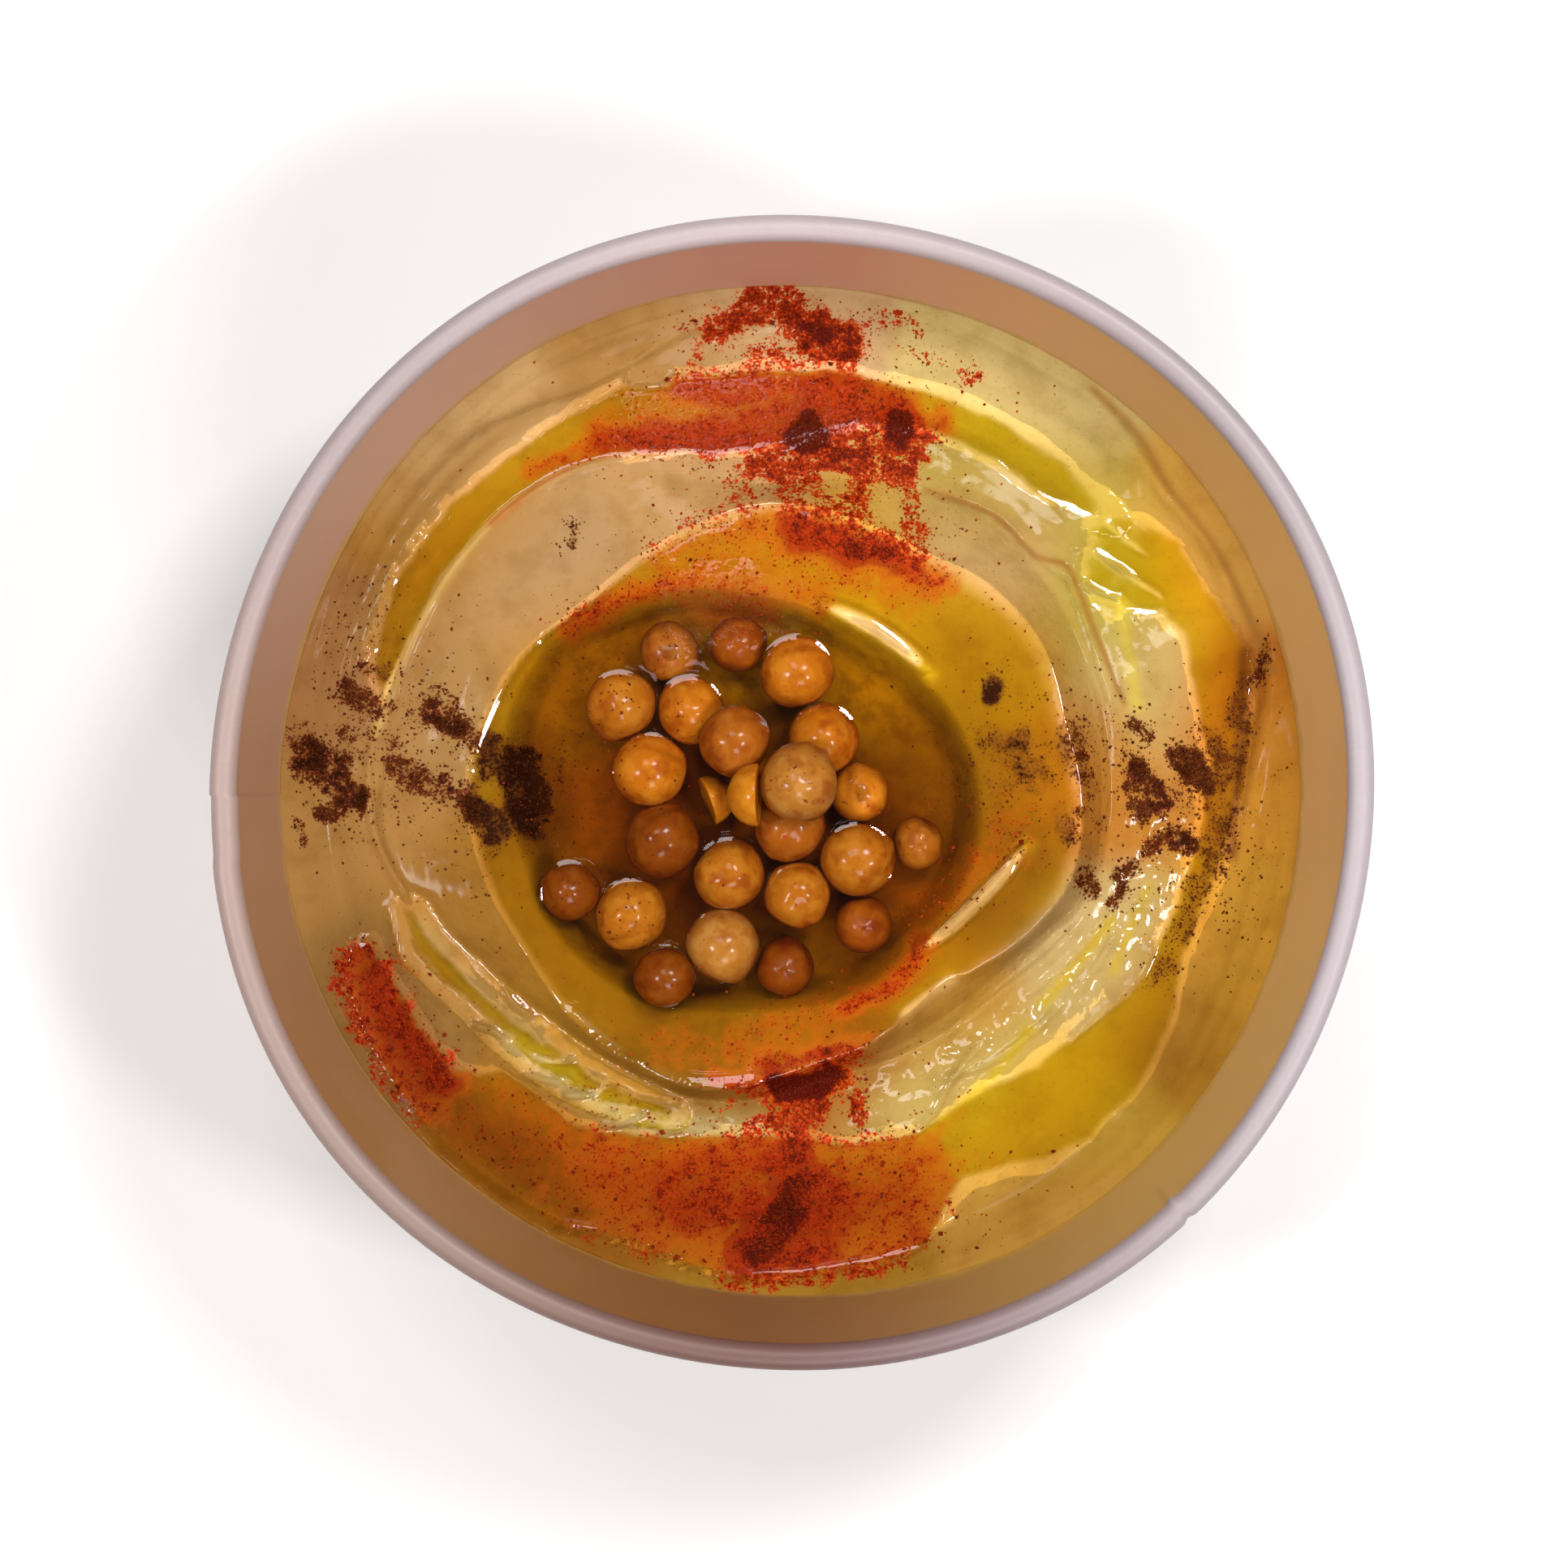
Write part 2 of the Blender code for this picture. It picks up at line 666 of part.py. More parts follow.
def centre_outline():
    degrees = np.arange(0.0, 360.0, 10.0)
    radius = ring(CENTRE_SHORE, degrees) + SHORE_MARGIN
    angle = np.radians(degrees)
    return np.stack([radius * np.cos(angle), radius * np.sin(angle)], axis=1)


def chickpea_cutters(chickpeas, home):
    """Each chickpea's shape made a little larger, to cut the oil round it."""
    made = []
    for chickpea in chickpeas:
        longest = max(chickpea.dimensions) / 2
        cutter = as_cutter(place(chickpea.name + "_cutter", chickpea.data, home))
        cutter.location = chickpea.location
        cutter.scale = (1.0 + CHICKPEA_CLEARANCE * MM / longest,) * 3
        made.append(cutter)
    return made


def main():
    clear_scene()
    parts = collection("hummus_bowl")
    cutters = collection("cutters")
    cutters.hide_render = True
    paper = finish("paper", PAPER_COLOUR, 0.55)
    hummus = finish("hummus", HUMMUS_COLOUR, 0.5)
    oil = finish("olive_oil", OIL_COLOUR, 0.08)
    skin = finish("chickpea_skin", CHICKPEA_COLOUR, 0.35)
    make_bowl_wall(parts, paper)
    make_bowl_base(parts, paper)
    spooned = make_spoon_cutter("spooned", 0.0, cutters)
    raised = make_spoon_cutter("raised", OIL_BED_CLEARANCE, cutters)
    make_filling(parts, hummus, spooned)
    chickpeas = make_chickpeas(parts, skin, spooned)
    bpy.context.view_layer.update()
    sockets = chickpea_cutters(chickpeas, cutters)
    centre = [raised] + sockets
    make_oil("oil_centre", centre_outline(), CENTRE_OIL, parts, oil, centre)
    names = ("oil_upper", "oil_outer", "oil_lower_left")
    for name, (outline, level, _, _) in zip(names, POOLS):
        shore = widened(flat_points(outline), SHORE_MARGIN)
        make_oil(name, shore, level, parts, oil, [raised])


main()
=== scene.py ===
# %% [markdown]
# # A bowl of hummus and its finish
#
# The solid model already has the right sizes: a paper bowl, a filling, four pools of
# oil and the chickpeas. This notebook loads it and gives each piece the look of the
# real thing. Where a solid is too coarse, a finer piece takes its place inside the
# same space. All sizes below are millimetres, because that is how a maker would
# measure a bowl, and the value MM turns them into Blender's metres.

# %% Load the solid model
import math

import bmesh
import bpy
import numpy as np
from mathutils import Matrix, Vector


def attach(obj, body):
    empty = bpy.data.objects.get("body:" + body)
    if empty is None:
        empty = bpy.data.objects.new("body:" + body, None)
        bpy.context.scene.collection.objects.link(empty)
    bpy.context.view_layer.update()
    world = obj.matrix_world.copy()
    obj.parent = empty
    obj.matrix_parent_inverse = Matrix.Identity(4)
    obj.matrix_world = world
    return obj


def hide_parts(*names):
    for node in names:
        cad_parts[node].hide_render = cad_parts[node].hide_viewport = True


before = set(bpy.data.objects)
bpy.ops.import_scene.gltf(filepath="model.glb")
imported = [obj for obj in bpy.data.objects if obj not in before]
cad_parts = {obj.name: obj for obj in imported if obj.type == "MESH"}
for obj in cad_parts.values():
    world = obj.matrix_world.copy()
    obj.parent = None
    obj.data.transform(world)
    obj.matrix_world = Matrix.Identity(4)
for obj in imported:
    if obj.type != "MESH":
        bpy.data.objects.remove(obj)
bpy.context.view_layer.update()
MM = 0.001

# %% [markdown]
# ## Curves and soft steps
#
# A spoon makes long smooth shapes, so the whole surface is described by a few rings
# and strokes. Each ring is a handful of (degrees, millimetres) points. A smooth curve
# runs through them, which is less work than sculpting and easy to change later.

# %% Soft steps


def smooth(t):
    """0 before 0, 1 after 1, and a soft S between them."""
    t = np.clip(t, 0.0, 1.0)
    return t * t * (3.0 - 2.0 * t)


def ramp(value, start, end):
    return smooth((value - start) / (end - start))


def bell(value, width):
    return np.exp(-((value / width) ** 2))


print("ramp at the middle:", float(ramp(0.5, 0.0, 1.0)))

# %% Rings and lines drawn from a few points


def ring(points, degrees):
    """A smooth closed ring through (degrees, value) points, read at each angle."""
    at, value = (np.array(column, float) for column in zip(*sorted(points)))
    at = np.concatenate([at[-2:] - 360.0, at, at[:2] + 360.0])
    value = np.concatenate([value[-2:], value, value[:2]])
    slope = np.gradient(value, at)
    i = np.clip(np.searchsorted(at, degrees, side="right") - 1, 0, len(at) - 2)
    step = at[i + 1] - at[i]
    t = (degrees - at[i]) / step
    before = (1 + 2 * t) * (1 - t) ** 2 * value[i] + t * (1 - t) ** 2 * step * slope[i]
    after = t * t * (3 - 2 * t) * value[i + 1] - t * t * (1 - t) * step * slope[i + 1]
    return before + after


def flat_points(points):
    """(degrees, radius) points as x and y."""
    degrees, radius = (np.array(column, float) for column in zip(*points))
    angle = np.radians(degrees)
    return np.stack([radius * np.cos(angle), radius * np.sin(angle)], axis=1)


def drawn_line(points, closed=False, between=5):
    """A smooth line through a few (degrees, radius) points, as x and y."""
    corner = flat_points(points)
    if closed:
        padded = np.concatenate([corner[-1:], corner, corner[:2]])
    else:
        padded = np.concatenate([corner[:1], corner, corner[-1:]])
    line = []
    for a, b, c, d in zip(padded, padded[1:], padded[2:], padded[3:]):
        for t in np.arange(between) / between:
            bend = (2 * b, c - a, 2 * a - 5 * b + 4 * c - d, 3 * b - a - 3 * c + d)
            line.append(0.5 * sum(part * t**power for power, part in enumerate(bend)))
    if not closed:
        line.append(corner[-1])
    return np.array(line)


def across_line(x, y, line, closed=False):
    """How far each place is from a line, how far along it (0 to 1), and on which side."""
    ends = np.roll(line, -1, axis=0)
    count = len(line) if closed else len(line) - 1
    away = np.full(x.shape, np.inf)
    along = np.zeros(x.shape)
    side = np.ones(x.shape)
    for i in range(count):
        (ax, ay), (bx, by) = line[i], ends[i]
        length = max((bx - ax) ** 2 + (by - ay) ** 2, 1e-9)
        t = np.clip(((x - ax) * (bx - ax) + (y - ay) * (by - ay)) / length, 0, 1)
        distance = np.hypot(x - ax - t * (bx - ax), y - ay - t * (by - ay))
        nearer = distance < away
        away = np.where(nearer, distance, away)
        along = np.where(nearer, (i + t) / count, along)
        left = np.sign((bx - ax) * (y - ay) - (by - ay) * (x - ax))
        side = np.where(nearer, left, side)
    return away, along, side


def inside_outline(x, y, line):
    """True where a place lies inside a closed line."""
    inside = np.zeros(x.shape, bool)
    for (ax, ay), (bx, by) in zip(line, np.roll(line, -1, axis=0)):
        if ay != by:
            inside ^= ((ay > y) != (by > y)) & (x < (bx - ax) * (y - ay) / (by - ay) + ax)
    return inside


def from_shore(x, y, line):
    """Distance to a closed line, negative inside it."""
    away = across_line(x, y, line, closed=True)[0]
    return np.where(inside_outline(x, y, line), -away, away)


print("points on a drawn line:", len(drawn_line([(0, 10), (20, 12), (40, 11)])))

# %% Unevenness that is the same on every run


def unevenness(x, y, size, seed):
    """Soft bumps between -1 and 1, about size millimetres apart."""
    table = np.random.default_rng(seed).uniform(-1.0, 1.0, (256, 256))
    u, v = x / size + 61.3, y / size + 47.9
    i, j = np.floor(u).astype(int), np.floor(v).astype(int)
    s, t = smooth(u - i), smooth(v - j)
    i0, i1, j0, j1 = i % 256, (i + 1) % 256, j % 256, (j + 1) % 256
    low = table[i0, j0] * (1 - s) + table[i1, j0] * s
    high = table[i0, j1] * (1 - s) + table[i1, j1] * s
    return low * (1 - t) + high * t


def rough(x, y, size, seed, layers=3):
    """Unevenness with finer unevenness on it."""
    total = sum(unevenness(x, y, size / 2**n, seed + n) / 2**n for n in range(layers))
    return total / 1.75


print("unevenness at one place:", round(float(unevenness(np.array(3.0), np.array(4.0), 5, 1)), 3))

# %% [markdown]
# ## The view
#
# The bowl is looked at from above, as a cook checks a plate. The floor is plain and
# almost white. A sky alone would light it evenly, but then the oil would have no
# bright lines. So five square lamps stand round the bowl and give nearly all of the
# light, and the oil draws each as a short line where it curves up a bank. Flat oil is
# a mirror for what is overhead: the sky is dim, and two dim panels show as soft glare.

# %% Camera
CAMERA_HEIGHT = 420.0
CAMERA_ACROSS, CAMERA_UP = -1.0, 1.1
VIEW_DEGREES = 31.2
SENSOR = 36.0

camera_data = bpy.data.cameras.new("camera")
camera_data.sensor_width = SENSOR
camera_data.lens = SENSOR / 2 / math.tan(math.radians(VIEW_DEGREES / 2))
camera_data.clip_start = 0.01
camera = bpy.data.objects.new("camera", camera_data)
camera.location = (CAMERA_ACROSS * MM, CAMERA_UP * MM, CAMERA_HEIGHT * MM)
bpy.context.scene.collection.objects.link(camera)
bpy.context.scene.camera = camera
print("lens:", round(camera_data.lens, 1), "mm")

# %% Lamps
# name, azimuth from +X, height angle, distance, size, share of the light, colour
LAMPS = (
    ("main", 48.0, 62.0, 450.0, 90.0, 0.30, (1.0, 0.97, 0.96)),
    ("broad_top", 110.0, 64.0, 800.0, 250.0, 0.15, (1.0, 0.96, 0.95)),
    ("right", 336.0, 57.0, 550.0, 70.0, 0.17, (1.0, 0.98, 0.97)),
    ("left", 190.0, 55.0, 700.0, 110.0, 0.20, (1.0, 0.95, 0.93)),
    ("near", 280.0, 50.0, 800.0, 240.0, 0.18, (1.0, 0.94, 0.92)),
)
# a quarter more light than white needs, so that the floor stays white in half shade
EXTRA_LIGHT = 1.25
FULL_WHITE = EXTRA_LIGHT * math.pi**2 / 0.95
# dim panels nearly overhead: place, size, watts
GLOWS = (
    ((-38.0, 118.0, 1400.0), (46.0, 28.0), 0.016),
    ((-48.0, 244.0, 1400.0), (84.0, 36.0), 0.040),
)


def lamp(name, place, size, watts, colour):
    light = bpy.data.lights.new(name, "AREA")
    light.shape = "RECTANGLE"
    light.size, light.size_y = size[0] * MM, size[1] * MM
    light.energy = watts
    light.color = colour
    thing = bpy.data.objects.new(name, light)
    thing.location = Vector(place) * MM
    aim = Vector((0.0, 0.0, 40.0)) * MM - thing.location
    thing.rotation_euler = aim.to_track_quat("-Z", "Y").to_euler()
    bpy.context.scene.collection.objects.link(thing)
    return thing


for name, azimuth, height_angle, distance, size, share, colour in LAMPS:
    a, e = math.radians(azimuth), math.radians(height_angle)
    flat = distance * math.cos(e)
    place = (flat * math.cos(a), flat * math.sin(a), distance * math.sin(e))
    watts = share * FULL_WHITE * (distance * MM) ** 2 / math.sin(e)
    lamp(name, place, (size, size), watts, colour)
for place, size, watts in GLOWS:
    lamp("glow", place, size, watts, (1.0, 0.72, 0.76))
print("lamps:", len(LAMPS) + len(GLOWS))

# %% Sky and colours
SKY_STRENGTH = 0.06
world = bpy.data.worlds.new("studio")
world.use_nodes = True
sky = world.node_tree.nodes["Background"]
sky.inputs["Color"].default_value = (1.0, 0.97, 0.96, 1.0)
sky.inputs["Strength"].default_value = SKY_STRENGTH
bpy.context.scene.world = world
bpy.context.scene.view_settings.view_transform = "Standard"
print("sky strength:", SKY_STRENGTH)

# %% [markdown]
# ## Helpers for finishes
#
# A finish could wrap an image round a piece, but nodes stay sharp at any distance and
# need no file. Most need the same few things: a noise with a size in millimetres, a
# blend of two colours, and a value that was painted on the mesh, such as how much
# paprika lies there.

# %% Helpers for node trees


def new_finish(name):
    """A material with its shader, ready for more nodes."""
    material = bpy.data.materials.new(name)
    material.use_nodes = True
    tree = material.node_tree
    return material, tree, tree.nodes["Principled BSDF"]


def feed(tree, socket, value):
    """Links a socket to another one, or sets it to a plain value."""
    if isinstance(value, bpy.types.NodeSocket):
        tree.links.new(value, socket)
    else:
        socket.default_value = value


def set_inputs(tree, node, **inputs):
    """Feeds several inputs of a node, where _ stands for a space in a name."""
    for name, value in inputs.items():
        feed(tree, node.inputs[name.replace("_", " ")], value)
    return node


def add_node(tree, kind, **inputs):
    return set_inputs(tree, tree.nodes.new(kind), **inputs)


print("shader inputs can now be set by name")

# %% Sums and soft steps in nodes


def calculate(tree, operation, a, b, clamp=False):
    made = tree.nodes.new("ShaderNodeMath")
    made.operation = operation
    made.use_clamp = clamp
    feed(tree, made.inputs[0], a)
    feed(tree, made.inputs[1], b)
    return made.outputs[0]


def plus(tree, a, b, clamp=False):
    return calculate(tree, "ADD", a, b, clamp)


def minus(tree, a, b):
    return calculate(tree, "SUBTRACT", a, b)


def times(tree, a, b, clamp=False):
    return calculate(tree, "MULTIPLY", a, b, clamp)


def rise(tree, value, start, end):
    """A value turned into 0 below start, 1 above end, and soft between them."""
    made = add_node(tree, "ShaderNodeMapRange", Value=value, From_Min=start, From_Max=end)
    made.interpolation_type = "SMOOTHSTEP"
    return made.outputs["Result"]


print("sums and soft steps ready")

# %% Noise, blends and painted values


def noise(tree, size, detail=3.0, roughness=0.55):
    """A noise whose bumps are about size millimetres across."""
    where = add_node(tree, "ShaderNodeTexCoord").outputs["Object"]
    scale = 1.0 / (size * MM)
    made = add_node(
        tree, "ShaderNodeTexNoise", Vector=where, Scale=scale, Detail=detail, Roughness=roughness
    )
    return made.outputs["Fac"]


def blend(tree, share, first, second, how="MIX"):
    """Two colours mixed by a share, where each is a colour or a socket."""
    made = tree.nodes.new("ShaderNodeMix")
    made.data_type = "RGBA"
    made.blend_type = how
    for name, value in (("Factor", share), ("A", first), ("B", second)):
        socket = [s for s in made.inputs if s.name == name and s.enabled][0]
        feed(tree, socket, (*value, 1.0) if isinstance(value, tuple) else value)
    return [s for s in made.outputs if s.enabled][0]


def tinted(tree, colour, by):
    """A colour as if seen through a coloured film."""
    return blend(tree, 1.0, colour, by, "MULTIPLY")


def painted(tree, name):
    """A value painted on the mesh."""
    made = tree.nodes.new("ShaderNodeAttribute")
    made.attribute_name = name
    return made.outputs["Fac"]


def painted_colour(tree, name):
    made = tree.nodes.new("ShaderNodeAttribute")
    made.attribute_name = name
    return made.outputs["Color"]


def add_bump(tree, shader, height, strength, distance):
    made = add_node(tree, "ShaderNodeBump", Height=height, Strength=strength, Distance=distance * MM)
    tree.links.new(made.outputs["Normal"], shader.inputs["Normal"])


print("finish helpers ready")

# %% Helpers for meshes


def place_mesh(name, points, faces, finish, smooth_faces=True):
    """A mesh object from points in millimetres."""
    mesh = bpy.data.meshes.new(name)
    mesh.from_pydata((np.asarray(points) * MM).tolist(), [], faces)
    mesh.validate()
    mesh.polygons.foreach_set("use_smooth", [smooth_faces] * len(mesh.polygons))
    mesh.materials.append(finish)
    thing = bpy.data.objects.new(name, mesh)
    bpy.context.scene.collection.objects.link(thing)
    return thing


def paint(thing, name, values):
    """Stores one number for each point of a mesh, for a finish to read."""
    layer = thing.data.attributes.new(name, "FLOAT", "POINT")
    layer.data.foreach_set("value", np.asarray(values, np.float32))


def paint_colour(thing, name, colours):
    layer = thing.data.attributes.new(name, "FLOAT_COLOR", "POINT")
    full = np.concatenate([colours, np.ones((len(colours), 1))], axis=1)
    layer.data.foreach_set("color", full.astype(np.float32).ravel())


def stacked_rings(rows, first_index=0, closed=False):
    """Quads between rows of points, where each row runs once round."""
    count = len(rows[0])
    here = np.arange(count)
    after = np.roll(here, -1)
    faces = []
    pairs = range(len(rows) if closed else len(rows) - 1)
    for i in pairs:
        a = first_index + i * count
        b = first_index + (i + 1) % len(rows) * count
        faces += np.stack([a + here, b + here, b + after, a + after], axis=1).tolist()
    return faces


def in_place(thing, slot, *nodes):
    """Fixes a piece to the bowl, and hides the solids that it stands for."""
    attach(thing, "root")
    if nodes:
        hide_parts(*nodes)
    print(thing.name, "has", len(thing.data.polygons), "faces")


print("mesh helpers ready")

# %% Floor
FLOOR_SIDE = 3000.0
floor_finish, tree, shader = new_finish("pale_floor")
mottle = noise(tree, 40.0)
shade = blend(tree, mottle, (0.93, 0.93, 0.93), (0.96, 0.96, 0.96))
set_inputs(tree, shader, Base_Color=shade, Roughness=0.8)
half = FLOOR_SIDE / 2
corners = [(-half, -half, 0), (half, -half, 0), (half, half, 0), (-half, half, 0)]
floor = place_mesh("floor", corners, [(0, 1, 2, 3)], floor_finish)
print("floor side:", FLOOR_SIDE, "mm")

# %% [markdown]
# ## The paper bowl
#
# A take-away bowl starts as flat card. It is rolled into a cone, glued along one
# overlap, rolled outward at the top into a bead, and folded in at the foot round the
# skirt of a bottom disc. Here one line through the middle of the paper is drawn in
# section, given its thickness, and turned round. The overlap shows as a small step
# down the wall, and handling has pressed the soft bowl a little out of round.

# %% Sizes of the bowl
RIM_RADIUS = 75.0
BOWL_HEIGHT = 60.0
FOOT_RADIUS = 62.3
PAPER = 0.6
BEAD = 3.5
BEAD_END = -125.0
FOLD_WIDTH, FOLD_HEIGHT = 2.4, 5.2
DISC_TOP = 6.5
CORNER = 0.6
OUT_OF_ROUND = ((2, 0.0042, 7.5), (4, 0.0053, 34.0))
SEAM_AT, SEAM_WIDTH, SEAM_STEP = 180.2, 7.0, 0.24
CREASE_AT, CREASE_DEPTH = 313.0, 0.35

# how high the food stands at the wall: degrees, height
WALL_HEIGHT = (
    (0, 41.6), (60, 41.4), (120, 42.0), (180, 42.0), (205, 40.4), (225, 39.6),
    (245, 40.2), (270, 40.6), (300, 41.8), (330, 42.0),
)

bead_middle = RIM_RADIUS - BEAD / 2
bead_height = BOWL_HEIGHT - BEAD / 2
bead_radius = (BEAD - PAPER) / 2
foot_middle = FOOT_RADIUS - PAPER / 2


def out_of_round(degrees):
    """How far the bowl is pressed out of a true circle, as a factor."""
    lobes = [s * np.cos(np.radians(n * (degrees - at))) for n, s, at in OUT_OF_ROUND]
    return 1.0 + sum(lobes)


def wall_line(height):
    """Radius of the middle of the paper wall at a height."""
    top = bead_middle - bead_radius
    share = (height - PAPER / 2) / (bead_height - PAPER / 2)
    return foot_middle + (top - foot_middle) * share


def arc(middle, radius, start, end, steps):
    angle = np.radians(np.linspace(start, end, steps))
    return np.stack([middle[0] + radius * np.cos(angle), middle[1] + radius * np.sin(angle)], axis=1)


def thickened(line):
    """Both sides of a line of (radius, height), half the paper's thickness away."""
    along = np.gradient(line, axis=0)
    along /= np.linalg.norm(along, axis=1)[:, None]
    across = np.stack([-along[:, 1], along[:, 0]], axis=1) * PAPER / 2
    return line + across, line - across


print("wall at half height:", round(wall_line(30.0), 1), "mm")

# %% Section of the wall
bead_line = arc((bead_middle, bead_height), bead_radius, BEAD_END, 172.0, 26)
wall_heights = np.linspace(bead_height - 0.2, CORNER + PAPER / 2, 36)
straight = np.stack([wall_line(wall_heights), wall_heights], axis=1)
foot_corner = arc((foot_middle - CORNER, CORNER + PAPER / 2), CORNER, -8.0, -90.0, 6)
fold_radius = foot_middle - FOLD_WIDTH + PAPER
fold_corner = arc((fold_radius + CORNER, CORNER + PAPER / 2), CORNER, -98.0, -180.0, 6)
fold_heights = np.linspace(CORNER + PAPER, FOLD_HEIGHT, 5)
fold = np.stack([np.full(5, fold_radius), fold_heights], axis=1)
section_line = np.concatenate([bead_line, straight, foot_corner, fold_corner, fold])
one_side, other_side = thickened(section_line)
section = np.concatenate([one_side, other_side[::-1]])
bead_rows = len(bead_line)
print("points in the section:", len(section))

# %% Angles of the wall, closer together at the overlap and the crease
close_up = [at + step for at in (SEAM_AT, CREASE_AT) for step in np.linspace(-1.2, 1.2, 13)]
wall_angles = np.unique(np.concatenate([np.arange(0.0, 360.0, 1.5), close_up]))
past_seam = (wall_angles - SEAM_AT) % 360.0
overlap = ramp(past_seam, 0.0, 0.25) * (1.0 - ramp(past_seam, SEAM_WIDTH - 0.3, SEAM_WIDTH))
crease = bell(wall_angles - CREASE_AT, 0.5)
print("angles round the wall:", len(wall_angles))


def turned_rows(profile):
    """Rows of points round the bowl, one row for each point of a section."""
    angle = np.radians(wall_angles)
    rows = []
    for radius, height in profile:
        at = radius * out_of_round(wall_angles)
        at = at - SEAM_STEP * overlap * ramp(height, 0.5, 8.0)
        at = at - CREASE_DEPTH * crease * ramp(height, 50.0, 58.0)
        rows.append(np.stack([at * np.cos(angle), at * np.sin(angle), np.full(len(at), height)], axis=1))
    return rows


# %% [markdown]
# ### Its finish
#
# The paper is nearly white outside and on the bead. Its inner face has taken up oil
# and the colour of the food, so it is a warm tan, pinker on one side and browner on
# the other, and greasy just above the food. Both faces also carry painted shade round
# the bowl: they are darker towards the bottom of the view. A few tones round the bowl
# are blended along a ring, which keeps the change soft. A water-proof film gives a faint shine.

# %% Finish of the paper
paper_finish, tree, shader = new_finish("bowl_paper")
fibres = noise(tree, 1.1, 4.0)
clouds = noise(tree, 22.0, 2.0)
# paper_tone is the paper's colour together with painted shade round the bowl
tone = painted_colour(tree, "paper_tone")
duller = tinted(tree, tone, (0.90, 0.89, 0.89))
white = blend(tree, fibres, tone, duller)
stained = blend(tree, times(tree, clouds, 0.25), tone, (0.42, 0.24, 0.15))
# the greasy line above the food wanders up and down
wander = times(tree, minus(tree, noise(tree, 3.5, 3.0), 0.5), 3.0)
near_food = plus(tree, painted(tree, "above_food"), wander)
greasy = minus(tree, 0.75, times(tree, rise(tree, near_food, -0.3, 1.6), 0.75))
stained = blend(tree, greasy, stained, (0.52, 0.33, 0.070))
shade = blend(tree, painted(tree, "inside"), white, stained)
set_inputs(tree, shader, Base_Color=shade, Roughness=0.5, Coat_Weight=0.15, Coat_Roughness=0.35)
add_bump(tree, shader, fibres, 0.25, 0.05)
print("paper finish ready")

# %% Wall of the bowl
wall_rows = turned_rows(section)
wall = place_mesh(
    "paper_wall", np.concatenate(wall_rows), stacked_rings(wall_rows, closed=True), paper_finish
)
count = len(section)
is_inner = np.zeros(count)
last_inner = count - bead_rows
is_inner[len(section_line):last_inner] = 1.0
print("rows on the inner face:", int(is_inner.sum()))

# %% Tones of the paper
# degrees round the bowl, then the colour of the inner face there: the stain it has taken up, with
# painted shade that darkens it towards the bottom
WALL_STAINS_AND_PAINTED_SHADE = (
    (0, (0.82, 0.53, 0.21)), (45, (0.69, 0.42, 0.165)), (90, (0.61, 0.32, 0.23)),
    (135, (0.58, 0.38, 0.29)), (180, (0.41, 0.23, 0.135)), (225, (0.37, 0.195, 0.060)),
    (270, (0.28, 0.145, 0.038)), (315, (0.57, 0.38, 0.125)),
)
# the same for the bead and the outside: nearly white and a little warm, with painted shade that makes
# them darker towards the bottom of the view, at 270 degrees
BEAD_TONES_AND_PAINTED_SHADE = (
    (0, (0.46, 0.405, 0.435)), (45, (0.38, 0.325, 0.34)), (90, (0.50, 0.42, 0.43)),
    (135, (0.42, 0.35, 0.355)), (180, (0.44, 0.325, 0.295)), (225, (0.33, 0.235, 0.205)),
    (270, (0.18, 0.095, 0.085)), (315, (0.40, 0.345, 0.365)),
)


def tones_round(tones, degrees):
    channels = []
    for channel in range(3):
        channels.append(ring([(at, colour[channel]) for at, colour in tones], degrees))
    return np.stack(channels, axis=-1)


food_height = ring(WALL_HEIGHT, wall_angles)
wall_tone_and_shade = np.where(
    is_inner[:, None, None] > 0,
    tones_round(WALL_STAINS_AND_PAINTED_SHADE, wall_angles)[None],
    tones_round(BEAD_TONES_AND_PAINTED_SHADE, wall_angles)[None],
)
paint(wall, "inside", np.repeat(is_inner, len(wall_angles)))
paint(wall, "above_food", (section[:, 1][:, None] - food_height[None]).ravel())
paint_colour(wall, "paper_tone", wall_tone_and_shade.reshape(-1, 3))
in_place(wall, "paper", "bowl_wall")

# %% [markdown]
# ### The bottom
#
# The bottom is a separate disc. Its edge is bent down into a skirt, and the foot of the
# wall is folded in round it, which is what makes the bowl tight. It is turned from its
# own section in the same way as the wall.

# %% Bottom disc with its skirt
SKIRT_BEND = 0.7
skirt = FOOT_RADIUS - FOLD_WIDTH / 2
disc_height = DISC_TOP - PAPER / 2
disc_radii = np.concatenate([[0.05], np.linspace(2.0, skirt - SKIRT_BEND - 0.1, 16)])
disc_line = np.stack([disc_radii, np.full(len(disc_radii), disc_height)], axis=1)
skirt_corner = arc((skirt - SKIRT_BEND, disc_height - SKIRT_BEND), SKIRT_BEND, 82.0, 8.0, 5)
skirt_line = np.array([(skirt, height) for height in np.linspace(disc_height - 1.0, 0.95, 6)])
upper, lower = thickened(np.concatenate([disc_line, skirt_corner, skirt_line]))
disc_section = np.concatenate([upper, lower[::-1]])
disc_rows = turned_rows(disc_section)
disc = place_mesh(
    "paper_bottom", np.concatenate(disc_rows), stacked_rings(disc_rows, closed=True), paper_finish
)
disc_count = len(disc.data.vertices)
paint(disc, "inside", np.zeros(disc_count))
paint(disc, "above_food", np.full(disc_count, 9.0))
paint_colour(disc, "paper_tone", np.tile((0.42, 0.37, 0.38), (disc_count, 1)))
in_place(disc, "paper", "bowl_base")

# %% [markdown]
# ## What the spoon did
#
# The cook filled the bowl, then turned it while drawing a spoon outward. That left a
# well in the middle, a ledge and a terrace round it, a crest, a channel, and a band
# against the wall. It could be sculpted by hand, but rings can be read and corrected
# one number at a time. The rings below are where each of these begins, and the shores
# are closed lines round the places where oil stands.

